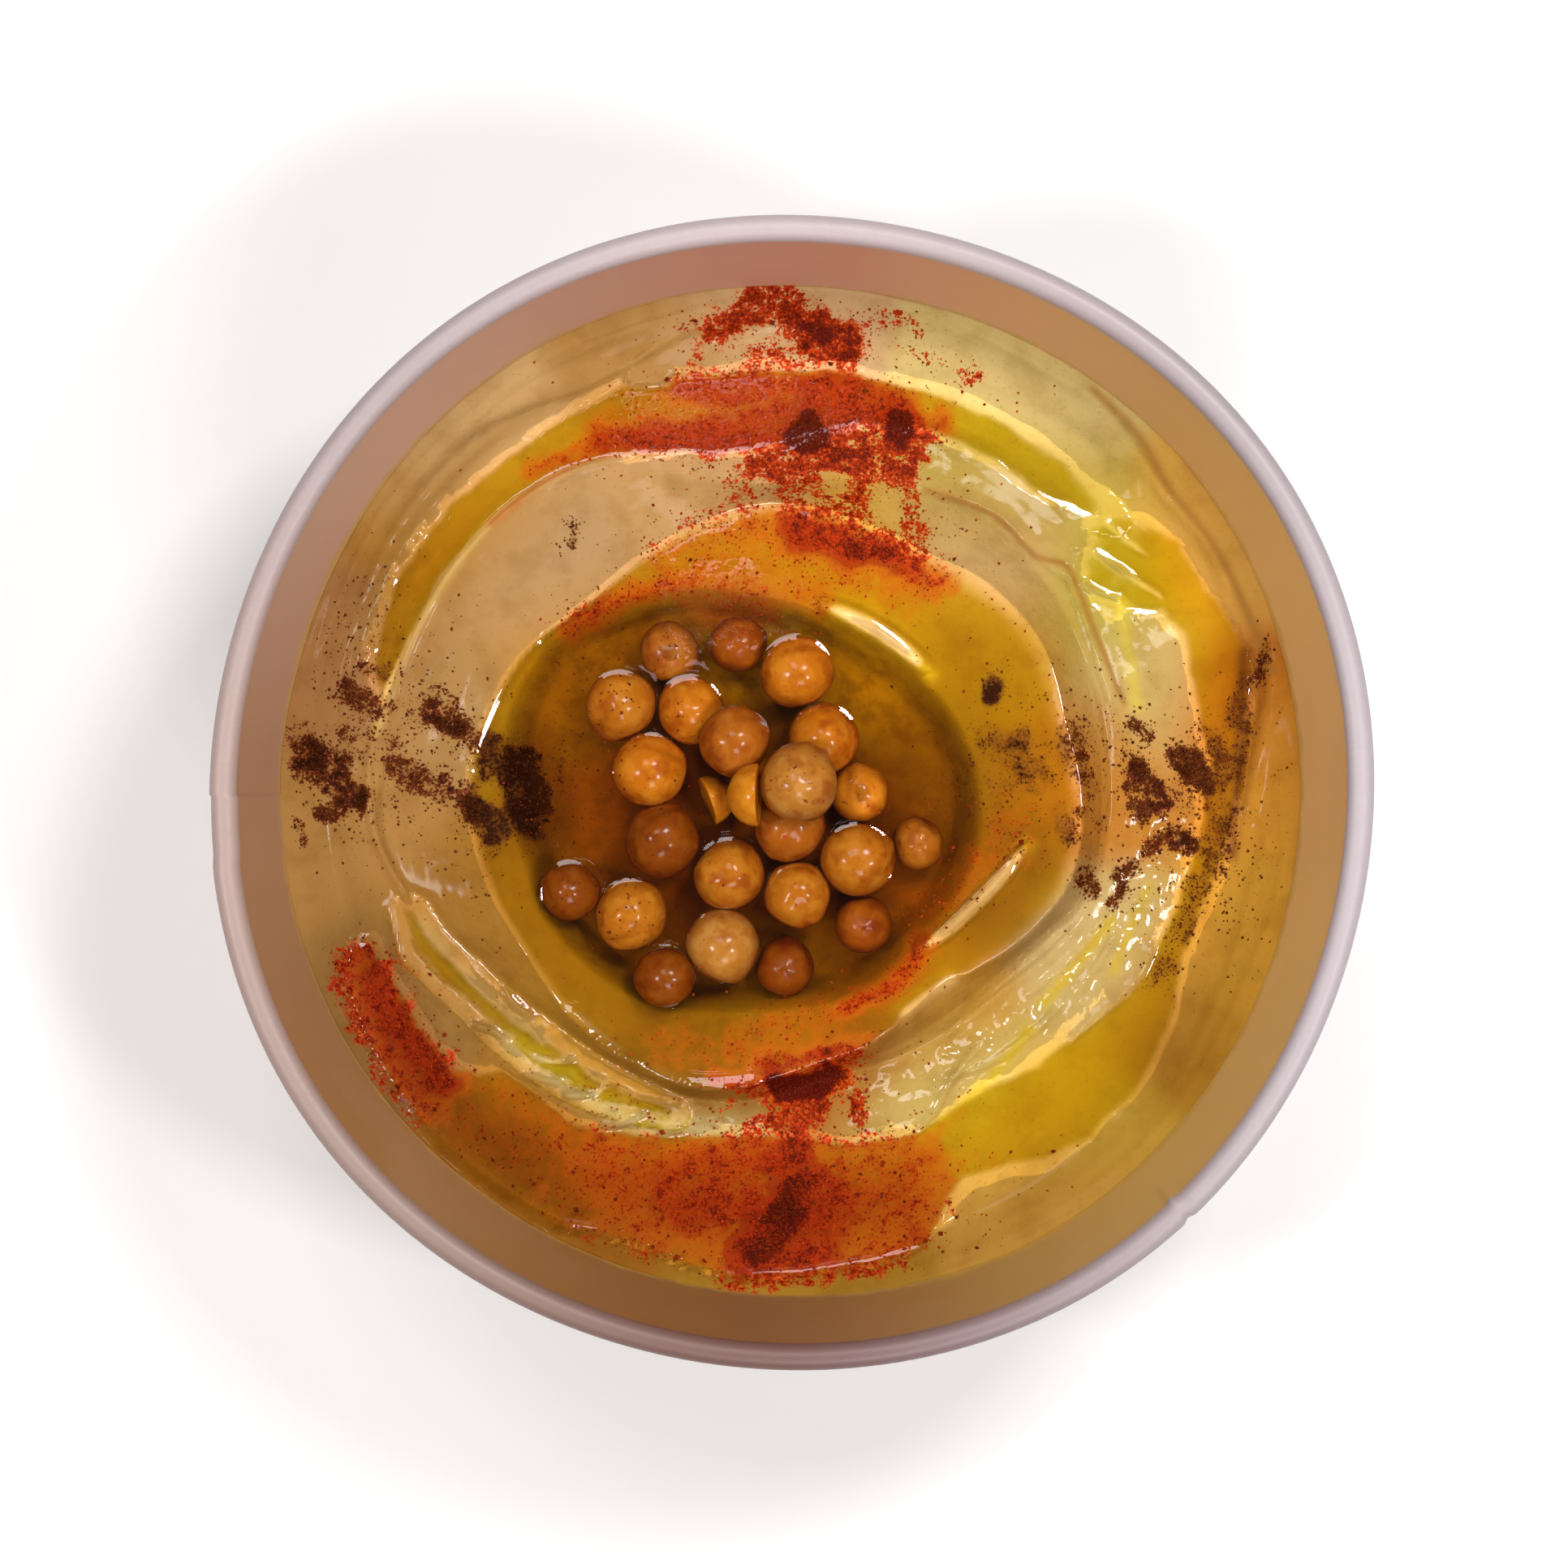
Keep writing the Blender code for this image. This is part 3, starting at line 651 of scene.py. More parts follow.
# %% Rings of the spread
WELL_FLOOR, WELL_BANK, LEDGE = 25.8, 4.8, 32.3
CENTRE_OIL, UPPER_OIL, OUTER_OIL, SMALL_OIL = 34.0, 37.3, 37.0, 38.1
TERRACE_TOP, CREST_STEP = 37.7, 1.2
OUTER_BAND_START, OUTER_BAND_END = 58.0, 68.4

WELL_RIM = (
    (0, 26.0), (20, 25.0), (40, 24.0), (60, 23.8), (80, 25.0), (95, 27.0), (110, 30.0),
    (122, 33.0), (135, 36.0), (148, 39.5), (165, 40.5), (180, 40.0), (193, 38.0),
    (204, 38.4), (216, 37.4), (228, 36.2), (238, 35.0), (250, 32.2), (270, 30.0),
    (290, 29.5), (310, 27.5), (340, 27.0),
)
CENTRE_SHORE = (
    (0, 39.8), (15, 38.8), (30, 39.8), (45, 39.4), (60, 37.8), (80, 38.8), (95, 39.8),
    (110, 38.8), (125, 37.8), (140, 38.4), (150, 40.8), (165, 42.9), (180, 44.4),
    (195, 43.4), (210, 42.4), (225, 43.2), (240, 43.4), (252, 42.6), (262, 40.5),
    (275, 37.6), (290, 36.2), (305, 34.2), (318, 35.7), (330, 38.2), (342, 40.2),
)
CREST = (
    (0, 43.5), (20, 44.3), (36, 46.2), (45, 45.8), (55, 46.0), (68, 44.7), (85, 43.5),
    (98, 43.3), (107, 45.5), (115, 49.0), (125, 52.0), (140, 53.6), (160, 54.2),
    (175, 55.8), (188, 56.3), (198, 53.0), (210, 49.6), (222, 46.6), (235, 45.4),
    (250, 45.0), (262, 43.4), (275, 40.2), (290, 38.8), (305, 38.2), (320, 38.8),
    (330, 40.4), (340, 43.0), (350, 43.8),
)
print("the well is", LEDGE - WELL_FLOOR, "mm deep below its ledge")

# %% Shores of the outer pools
UPPER_SHORE = (
    (40, 57.4), (50, 58.3), (60, 58.3), (72, 57.8), (85, 58.0), (97, 57.6), (105, 58.6),
    (113, 60.0), (125, 59.8), (140, 61.0), (152, 61.4), (162, 60.0), (167, 57.6),
    (160, 56.0), (148, 55.8), (136, 55.2), (126, 54.0), (118, 52.0), (112, 50.0),
    (106, 48.0), (99, 47.0), (90, 48.0), (80, 51.0), (70, 53.0), (58, 53.0), (48, 53.4),
    (43, 55.4),
)
OUTER_SHORE = (
    (38, 60.0), (33, 63.0), (27, 63.3), (20, 64.5), (16, 65.2), (10, 63.2), (3, 61.4),
    (355, 60.2), (348, 58.8), (341, 58.2), (336, 58.4), (331, 60.2), (325, 61.3),
    (318, 62.5), (311, 62.4), (305, 61.0), (300, 58.8), (294, 58.0), (291, 59.6),
    (289, 62.5), (286, 64.8), (280, 65.4), (272, 66.0), (264, 66.8), (257, 66.0),
    (250, 65.3), (246, 66.0), (242, 67.4), (233, 68.0), (225, 68.0), (215, 67.8),
    (208, 67.0), (202, 66.0), (199, 63.8), (199.5, 61.2), (205, 60.3), (212, 59.8),
    (219, 59.4), (222, 57.5), (224, 54.6), (229, 53.6), (236, 54.4), (241, 53.0),
    (247, 50.4), (255, 48.4), (263, 47.2), (272, 47.2), (280, 48.4), (287, 49.4),
    (293, 48.8), (300, 48.2), (306, 48.8), (312, 50.0), (319, 50.8), (326, 52.3),
    (332, 53.8), (340, 54.3), (348, 55.0), (356, 56.0), (4, 57.0), (10, 56.6),
    (16, 56.8), (22, 57.4), (26, 56.2), (27.5, 53.0), (29, 49.8), (32, 48.4),
    (35.5, 48.6), (38, 51.0), (40, 54.0), (40.5, 57.5),
)
SMALL_SHORE = (
    (197, 55.0), (203, 55.6), (208, 54.0), (214, 52.3), (220, 51.6), (226, 50.8),
    (232, 50.2), (238, 49.2), (245, 47.6), (250, 46.6), (243, 46.4), (236, 46.9),
    (228, 47.3), (221, 48.2), (214, 49.6), (208, 51.2), (202, 53.2), (198, 54.0),
)
# node, shore, level, depth, softness of the bank, slope of the bank
POOLS = (
    ("oil_upper", UPPER_SHORE, UPPER_OIL, 1.9, 1.8, 0.12),
    ("oil_outer", OUTER_SHORE, OUTER_OIL, 1.7, 2.0, 0.12),
    ("oil_lower_left", SMALL_SHORE, SMALL_OIL, 1.1, 1.0, 0.20),
)
# a bank's small lip, how far a bank reaches, and the height that the spread keeps at the wall
BANK_LIP, BANK_REACH, WALL_KEEP = 0.05, 4.0, 3.2
# places where a pool is only a film: path, half width, share of the depth taken away
SHALLOWS = (
    (((31, 50.5), (34, 54.0), (38, 57.5)), 5.0, 0.62),
    (((20, 60.0), (26, 60.5)), 2.5, 0.4),
    (((45, 56.5), (55, 56.0)), 2.5, 0.4),
    (((210, 64.5), (206, 62.0)), 2.0, 0.4),
)

print("outer pools:", len(POOLS))

# %% Ridges and clinging oil
# low ridges that break the surface of the middle pool: path, height above it, half width
OIL_RIDGES = (
    (((43, 25.0), (54, 24.8), (65, 25.0), (80, 26.0)), 0.35, 1.1),
    (((309, 28.0), (320, 28.6), (331, 29.8), (340, 31.4), (347, 33.0)), 0.45, 0.85),
)
RIDGE_BACK, RIDGE_TAPER = 1.7, 1.0
# where the oil climbs its shore enough to catch a lamp: path, rise, reach
SHORE_CLINGS = (
    (((226, 42.8), (236, 43.0), (246, 42.6), (255, 41.6), (262, 39.8)), 0.60, 1.5),
    (((238, 67.4), (250, 65.4), (264, 66.6), (272, 65.8), (281, 65.2), (289, 62.6)), 0.60, 0.8),
    (((143, 61.4), (152, 61.5), (161, 60.4)), 0.45, 1.0),
    (((150, 41.0), (163, 42.8), (176, 44.0)), 0.62, 1.6),
    (((199, 62.5), (201, 65.8)), 0.40, 0.9),
)
print("ridges:", len(OIL_RIDGES), "clinging shores:", len(SHORE_CLINGS))

# %% [markdown]
# ## Strokes
#
# Each edge that the spoon left is one stroke: a path, how far it stands up, and how
# quickly it falls away outward and inward. A lip that was pushed over has a long back
# and a short steep face. A crack is a stroke that goes down. Where the paste tore, it
# is rough, and small lumps are added there.

# %% Strokes of the spoon
# path, rise, fall-off outward, fall-off inward
STROKES = (
    # the folded lip of the upper left band, and the tongue at its end
    (((92, 64.0), (99, 63.9), (105, 63.6), (110, 62.3), (118, 62.0), (125, 63.6),
      (131, 65.0), (140, 65.3), (152, 65.0), (168, 64.2)), 1.1, 2.4, 0.45),
    (((98, 63.2), (107, 62.8), (111.5, 60.8), (109.5, 58.8), (105.5, 57.4)), 0.9, 0.5, 2.2),
    (((118, 61.4), (126, 62.2), (134, 63.4), (146, 63.9), (160, 63.2), (174, 61.8)), 0.45, 0.5, 0.9),
    # thin lines that the spoon dragged beside the wall
    (((50, 67.2), (75, 67.5), (95, 67.4), (120, 67.1), (145, 67.0), (170, 67.2)), 0.3, 0.5, 0.35),
    (((105, 66.0), (125, 66.3), (150, 66.2), (172, 66.0)), 0.25, 0.6, 0.3),
    (((283, 66.9), (300, 66.6), (320, 67.2), (345, 66.9), (358, 66.6)), 0.20, 0.6, 0.4),
    (((292, 64.0), (303, 65.4), (316, 65.0)), 0.30, 0.9, 0.7),
    (((322, 65.6), (336, 64.2), (349, 63.9), (355, 65.0)), 0.30, 0.8, 0.6),
    # the crack at the right and the lip outside it
    (((358, 61.0), (4, 61.9), (9, 63.6), (14, 65.6), (19, 67.6)), -0.9, 0.45, 0.6),
    (((356, 62.0), (3, 63.2), (9, 65.0), (15, 67.2)), 0.7, 1.4, 0.6),
    # small creases and pale lobes of the upper right band
    (((37, 64.9), (43, 65.6), (49, 66.8), (53, 67.8)), -0.55, 0.4, 0.4),
    (((24, 65.0), (31, 65.4), (38, 64.6), (42, 65.6)), 0.5, 0.9, 0.5),
    (((41, 60.6), (44, 62.4), (50, 64.2), (57, 63.0), (66, 61.8), (75, 61.2)), 0.6, 2.2, 1.2),
    (((51, 67.0), (55, 66.6), (66, 66.4), (80, 66.6)), 0.3, 1.0, 0.6),
    # the edge of the left band, and the crest beside the upper channel
    (((168, 56.2), (176, 57.4), (184, 56.9), (190, 55.6), (197, 53.8)), 0.55, 0.8, 0.5),
    (((116, 50.6), (124, 52.8), (134, 54.3), (146, 55.2), (158, 55.6), (170, 56.0)), 0.75, 0.5, 0.8),
    # the crest at the right, which leans over the terrace
    (((352, 44.4), (10, 44.6), (24, 45.2), (34, 46.7), (38, 47.3), (41, 46.5), (46, 46.2),
      (53, 46.8), (60, 45.9), (67, 45.2)), 0.5, 1.3, 0.35),
    (((36, 46.9), (38.5, 49.0), (40, 51.4)), 0.45, 0.5, 0.5),
    # the rough wet ridge at the lower right
    (((283, 39.2), (296, 38.9), (308, 38.8), (318, 39.6), (328, 41.4), (338, 43.6)), 0.8, 1.6, 0.5),
    (((290, 49.6), (294, 47.8), (298, 45.4), (304, 43.4), (310, 43.0)), 0.6, 0.5, 0.6),
    (((296, 43.6), (306, 45.6), (317, 46.4), (329, 47.6), (338, 48.0)), 0.6, 0.7, 0.5),
    (((317, 50.9), (323, 51.6), (328, 52.8), (333, 53.8), (338, 53.4)), 0.6, 0.5, 0.9),
    (((318, 42.2), (326, 43.6), (334, 45.4), (341, 47.0)), 0.4, 0.5, 0.6),
    # pale wedges that stand in the shallow oil at the right
    (((27, 57.6), (31, 55.4), (35, 53.6), (39, 52.6)), 0.85, 0.9, 0.6),
    (((30, 52.2), (33, 50.0), (36, 48.6)), 0.7, 0.8, 0.7),
    (((33, 58.6), (37, 57.0), (41, 56.4)), 0.6, 0.7, 0.5),
    # torn peaks at the lower left
    (((225, 50.6), (229, 48.6), (231, 46.4)), 0.9, 0.45, 0.5),
    (((233, 51.8), (236.5, 49.4), (238, 47.0)), 1.0, 0.4, 0.6),
    (((240, 52.6), (243, 50.6), (246, 47.6)), 0.8, 0.5, 0.4),
    (((216, 53.8), (219, 51.8), (222, 50.8)), 0.7, 0.5, 0.5),
    (((205, 52.2), (212, 50.4), (220, 48.6), (230, 47.2), (242, 46.2), (252, 45.4)), 0.25, 0.9, 0.5),
    (((226, 53.2), (230, 51.4), (233, 49.2)), 0.5, 0.5, 0.5),
    (((224, 45.2), (236, 44.6), (248, 44.3), (258, 43.4)), 0.5, 0.5, 0.8),
    (((212, 46.4), (217, 47.6), (222, 46.4)), 0.5, 0.6, 0.6),
    # the lobe that hangs over the middle pool at the bottom
    (((286, 36.6), (294, 35.6), (297, 33.8), (303, 33.4), (310, 33.6), (314, 35.4), (322, 36.6)),
     0.5, 1.6, 0.5),
)
print("strokes:", len(STROKES))

# %% Torn and rough places
# path, half width, height of the bumps
ROUGH_PLACES = (
    (((284, 44.0), (296, 43.0), (308, 42.6), (320, 44.6), (332, 48.0), (342, 50.5), (352, 51.0)),
     4.6, 0.46),
    (((222, 49.5), (234, 48.5), (244, 48.5), (256, 46.5), (264, 45.5)), 3.2, 0.50),
    (((28, 52.0), (34, 54.0), (41, 53.0)), 4.0, 0.30),
    (((118, 60.4), (130, 62.0), (150, 62.6), (166, 61.6)), 1.8, 0.25),
    (((0, 50.5), (15, 51.5), (28, 52.0)), 4.0, 0.10),
    (((62, 50.5), (72, 48.0), (90, 46.0)), 2.5, 0.14),
)
print("rough places:", len(ROUGH_PLACES))

# %% Height of the rings


def rings_height(radius, degrees):
    """The spread without its outer pools: floor, ledge, terrace, crest, outer band."""
    well = ring(WELL_RIM, degrees)
    shore = ring(CENTRE_SHORE, degrees)
    crest = ring(CREST, degrees)
    wall_height = ring(WALL_HEIGHT, degrees)
    along_ledge = np.clip((radius - well) / (shore - well), 0, 1)
    height = LEDGE + (CENTRE_OIL - LEDGE) * along_ledge**2
    terrace_width = np.maximum(crest - 1.0 - shore, 1.0)
    height += (TERRACE_TOP - CENTRE_OIL) * np.clip((radius - shore) / terrace_width, 0, 1)
    height += CREST_STEP * ramp(radius, crest - 0.9, crest + 0.2)
    crest_top = TERRACE_TOP + CREST_STEP
    height += (wall_height - crest_top) * ramp(radius, OUTER_BAND_START, OUTER_BAND_END)
    height -= (LEDGE - WELL_FLOOR) * ramp(well + 0.5 - radius, 0.0, WELL_BANK)
    return height


def near_path(x, y, path, half_width, closed=False):
    """1 on a path, fading to 0 a few half widths away."""
    return bell(across_line(x, y, drawn_line(path, closed, 3), closed)[0], half_width)


print("height at the wall:", float(rings_height(np.array(68.0), np.array(0.0)).round(1)))

# %% Beds, banks and strokes


def shallow_share(x, y):
    share = np.zeros(x.shape)
    for path, half_width, amount in SHALLOWS:
        share = np.maximum(share, amount * near_path(x, y, path, half_width))
    return share


def carved(height, away, level, depth, softness, slope, near_wall):
    """Sinks one pool's bed below its oil and gives it a bank all round."""
    bed = level - depth * (1.0 - np.exp(np.minimum(away, 0.0) / softness))
    outward = np.maximum(away, 0.0)
    steepest = level + slope * outward + near_wall
    lip = level + BANK_LIP * (1.0 - np.exp(-outward / softness))
    lip = height + (lip - height) * (1.0 - ramp(outward, softness, BANK_REACH))
    bank = np.minimum(np.maximum(height, lip), steepest)
    return np.where(away < 0.0, np.minimum(height, bed), bank)


def stroke_height(x, y):
    total = np.zeros(x.shape)
    for path, rise, outward, inward in STROKES:
        away, along, side = across_line(x, y, drawn_line(path, between=4))
        fade = ramp(along, 0.0, 0.12) * (1.0 - ramp(along, 0.88, 1.0))
        total += rise * fade * bell(away, np.where(side > 0, inward, outward))
    return total


print("highest stroke:", max(rise for path, rise, outward, inward in STROKES), "mm")

# %% Height of the spread
SPOON_DRAG, LONG_WAVES, FINE_GRAIN = 0.06, 0.16, 0.05


def spread_height(x, y):
    """The height of the finished spread at each place."""
    radius = np.hypot(x, y)
    degrees = np.degrees(np.arctan2(y, x)) % 360.0
    height = rings_height(radius, degrees)
    shallow = shallow_share(x, y)
    # beside the wall the spread keeps its height
    near_wall = WALL_KEEP * ramp(radius, 62.0, 68.5)
    for name, shore, level, depth, softness, slope in POOLS:
        away = from_shore(x, y, flat_points(shore))
        away += 0.5 * rough(x, y, 3.2, 41)
        height = carved(height, away, level, depth * (1.0 - shallow), softness, slope, near_wall)
    for path, rise, half_width in OIL_RIDGES:
        away, along, side = across_line(x, y, drawn_line(path, between=3))
        width = np.where(side > 0, half_width, RIDGE_BACK * half_width)
        top = CENTRE_OIL + rise - RIDGE_TAPER * (2 * along - 1) ** 4
        ridge = top - 1.2 * (away / width) ** 2
        height = np.maximum(height, np.where(away < 2 * width, ridge, height))
    height = height + stroke_height(x, y)
    # the spoon's own texture runs round the bowl, so it is long that way and narrow across
    arc_length = np.radians(degrees) * 45.0
    outside_well = ramp(radius, 24.0, 30.0)
    drag = rough(arc_length / 9.0, radius, 1.5, 11)
    height += SPOON_DRAG * outside_well * drag + LONG_WAVES * rough(x, y, 9.0, 21)
    height += FINE_GRAIN * outside_well * rough(x, y, 2.6, 27)
    for path, half_width, size in ROUGH_PLACES:
        lumps = rough(x + 2.0 * drag, y, 1.7, 31)
        height += size * near_path(x, y, path, half_width) * lumps
    return height


print("height at a few radii:", spread_height(np.array([0.0, 30.0, 60.0]), np.zeros(3)).round(1))

# %% [markdown]
# ### A map of the spread
#
# Oil and spices lie on the spread, so they need its height at any place. Asking the
# mesh with a ray for each grain would be slow. One square map holds the height every
# third of a millimetre, and any place is read between its points.

# %% One square map of the spread, shared by oil and spices
MAP_STEP = 0.35
MAP_HALF = 72.1
map_line = np.arange(-MAP_HALF, MAP_HALF + MAP_STEP / 2, MAP_STEP)
map_x, map_y = np.meshgrid(map_line, map_line, indexing="ij")
spread_map = spread_height(map_x, map_y)


def read_map(values, x, y):
    """A map's value between its points."""
    u = np.clip((x + MAP_HALF) / MAP_STEP, 0, len(map_line) - 1.001)
    v = np.clip((y + MAP_HALF) / MAP_STEP, 0, len(map_line) - 1.001)
    i, j = u.astype(int), v.astype(int)
    s, t = u - i, v - j
    low = values[i, j] * (1 - s) + values[i + 1, j] * s
    high = values[i, j + 1] * (1 - s) + values[i + 1, j + 1] * s
    return low * (1 - t) + high * t


print("map points:", map_x.shape)

# %% [markdown]
# ## Paprika and cumin
#
# A pinch of spice falls as a cloud: dense in the middle, a few grains far out. Grains
# alone would need millions of faces, so each cloud is a path with a width and a
# strength. The same clouds colour the paste, because wet paprika bleeds, and later say
# where the single loose grains lie.

# %% Clouds of spice
# path, half width, strength
PAPRIKA = (
    # from the wall at the top down to the middle pool
    (((99.5, 63.7), (96, 65.0), (92.5, 66.8), (90, 65.4)), 2.2, 1.15),
    (((89.5, 63.4), (87, 62.4), (84, 61.4), (83.6, 60.2)), 2.5, 1.45),
    (((88, 63.0), (86, 62.2)), 1.6, 1.9),
    (((94.5, 59.6), (86, 59.8)), 1.6, 0.72), (((101, 62.8), (103, 59.6)), 1.2, 0.5),
    (((80, 64.4), (77, 65.6), (74, 64.6)), 1.0, 0.5), (((76, 62.8), (71, 61.4)), 1.0, 0.45),
    (((66.5, 62.0), (67.5, 60.8)), 1.1, 0.6), (((82, 58.4), (92, 57.6), (102, 58.0)), 1.5, 0.5),
    (((75, 55.6), (88, 55.6), (100, 55.4), (105, 57.0)), 1.7, 0.85),
    (((71, 52.4), (76, 53.0), (82, 52.4)), 2.4, 1.05),
    (((74, 52.4), (72.4, 51.2)), 1.9, 2.1),
    (((87, 53.0), (88, 50.0), (88.5, 48.0)), 2.2, 1.25), (((86.8, 50.8), (87.8, 48.4)), 2.2, 2.7),
    (((71, 49.0), (79, 49.0), (88, 47.6), (96, 45.6)), 2.4, 1.08),
    (((70, 46.4), (79, 45.4), (90, 44.6)), 2.0, 1.0), (((77, 47.4), (84, 46.4)), 1.4, 1.4),
    (((92, 52.6), (97, 50.8), (104, 50.6), (112, 52.0), (118, 54.6)), 1.6, 0.85),
    (((93, 47.8), (100, 48.4), (107, 50.0), (114, 52.4)), 1.3, 1.05),
    (((114, 52.4), (121, 54.4), (129, 56.4)), 0.9, 0.6),
    (((98, 49.0), (103, 47.4)), 1.4, 0.9), (((94.5, 44.6), (92, 42.6)), 1.6, 0.7),
    (((70, 46.0), (68, 43.2), (66, 40.4)), 1.5, 0.72), (((77, 43.4), (78, 40.4), (76, 37.6)), 2.0, 0.82),
    (((86, 43.0), (83, 39.6), (84, 37.4)), 1.6, 0.78), (((91, 42.4), (90, 38.8), (88, 36.2)), 2.0, 0.85),
    (((101, 42.4), (99, 40.2), (97, 37.6)), 1.8, 0.55), (((63, 39.6), (66, 37.6)), 1.4, 0.65),
    (((62, 36.4), (72, 35.8), (80, 35.2), (88, 36.0)), 2.3, 1.08),
    (((68, 35.2), (77, 34.6)), 1.5, 1.45), (((55, 35.4), (62, 34.0)), 1.6, 0.8),
    (((62, 32.6), (80, 31.8), (98, 32.0), (112, 33.4)), 2.4, 0.36),
    (((94, 36.0), (106, 37.0), (118, 36.6)), 2.8, 0.42), (((104, 39.6), (112, 39.6)), 1.3, 0.5),
    (((114, 32.0), (122, 33.4), (130, 35.0), (138, 36.8), (144, 38.4)), 1.2, 0.70),
    (((98, 27.6), (106, 28.6), (114, 30.4)), 2.6, 0.5),
    (((82, 26.6), (90, 27.6)), 1.8, 0.5),
    # the bottom
    (((201, 61.4), (200.5, 64.0), (203, 66.2), (208, 67.0)), 1.4, 0.85),
    (((204, 62.0), (211, 62.0), (219, 62.0)), 2.4, 1.0),
    (((206, 65.6), (214, 65.6), (221, 66.0)), 2.4, 0.72),
    (((224, 65.0), (232, 62.0), (240, 58.0)), 4.0, 0.27), (((228, 57.0), (236, 58.0)), 3.0, 0.30),
    (((242, 64.0), (252, 62.6), (258, 60.0)), 3.6, 0.33), (((243, 57.0), (248, 54.0)), 3.0, 0.45),
    (((262, 66.8), (270, 66.0), (280, 65.0), (286, 63.4)), 1.5, 0.75),
    (((246, 57.0), (258, 57.5), (272, 57.0), (285, 57.0)), 6.5, 0.62),
    (((254, 58.0), (266, 57.0), (276, 57.0)), 4.2, 0.85),
    (((266, 61.5), (269, 58.0), (270.5, 54.0)), 3.0, 1.60), (((266, 65.0), (274, 63.0)), 2.2, 1.05),
    (((252, 55.0), (258, 51.4), (266, 49.4)), 2.8, 0.85), (((268, 51.6), (271, 49.0)), 2.2, 1.15),
    (((281, 63.0), (282, 59.0), (278, 54.0)), 2.8, 0.62),
    (((272, 47.4), (279, 48.6), (285, 49.4)), 1.4, 0.62), (((282, 45.4), (282, 42.4)), 1.0, 0.95),
    (((264, 46.6), (268, 45.0), (274, 44.4)), 1.8, 0.9), (((270, 43.6), (275, 42.0)), 1.6, 1.1),
    (((257, 44.6), (259, 43.0)), 1.0, 0.5), (((256, 41.2), (263, 40.6)), 1.2, 0.8),
    (((268, 40.4), (273, 40.0), (278, 39.2)), 1.9, 2.5),
    (((265, 38.0), (275, 37.4), (284, 36.6)), 1.7, 0.80),
    (((258, 36.0), (263, 34.0), (270, 31.8), (279, 31.0)), 2.2, 0.40),
    (((244, 39.6), (252, 38.0)), 2.0, 0.3),
    (((284, 30.6), (294, 30.0), (302, 29.4), (308, 28.2), (312, 27.2)), 1.2, 0.85),
    (((316, 25.6), (326, 26.4), (338, 27.8)), 2.2, 0.42), (((345, 30.0), (352, 30.6)), 2.4, 0.32),
)
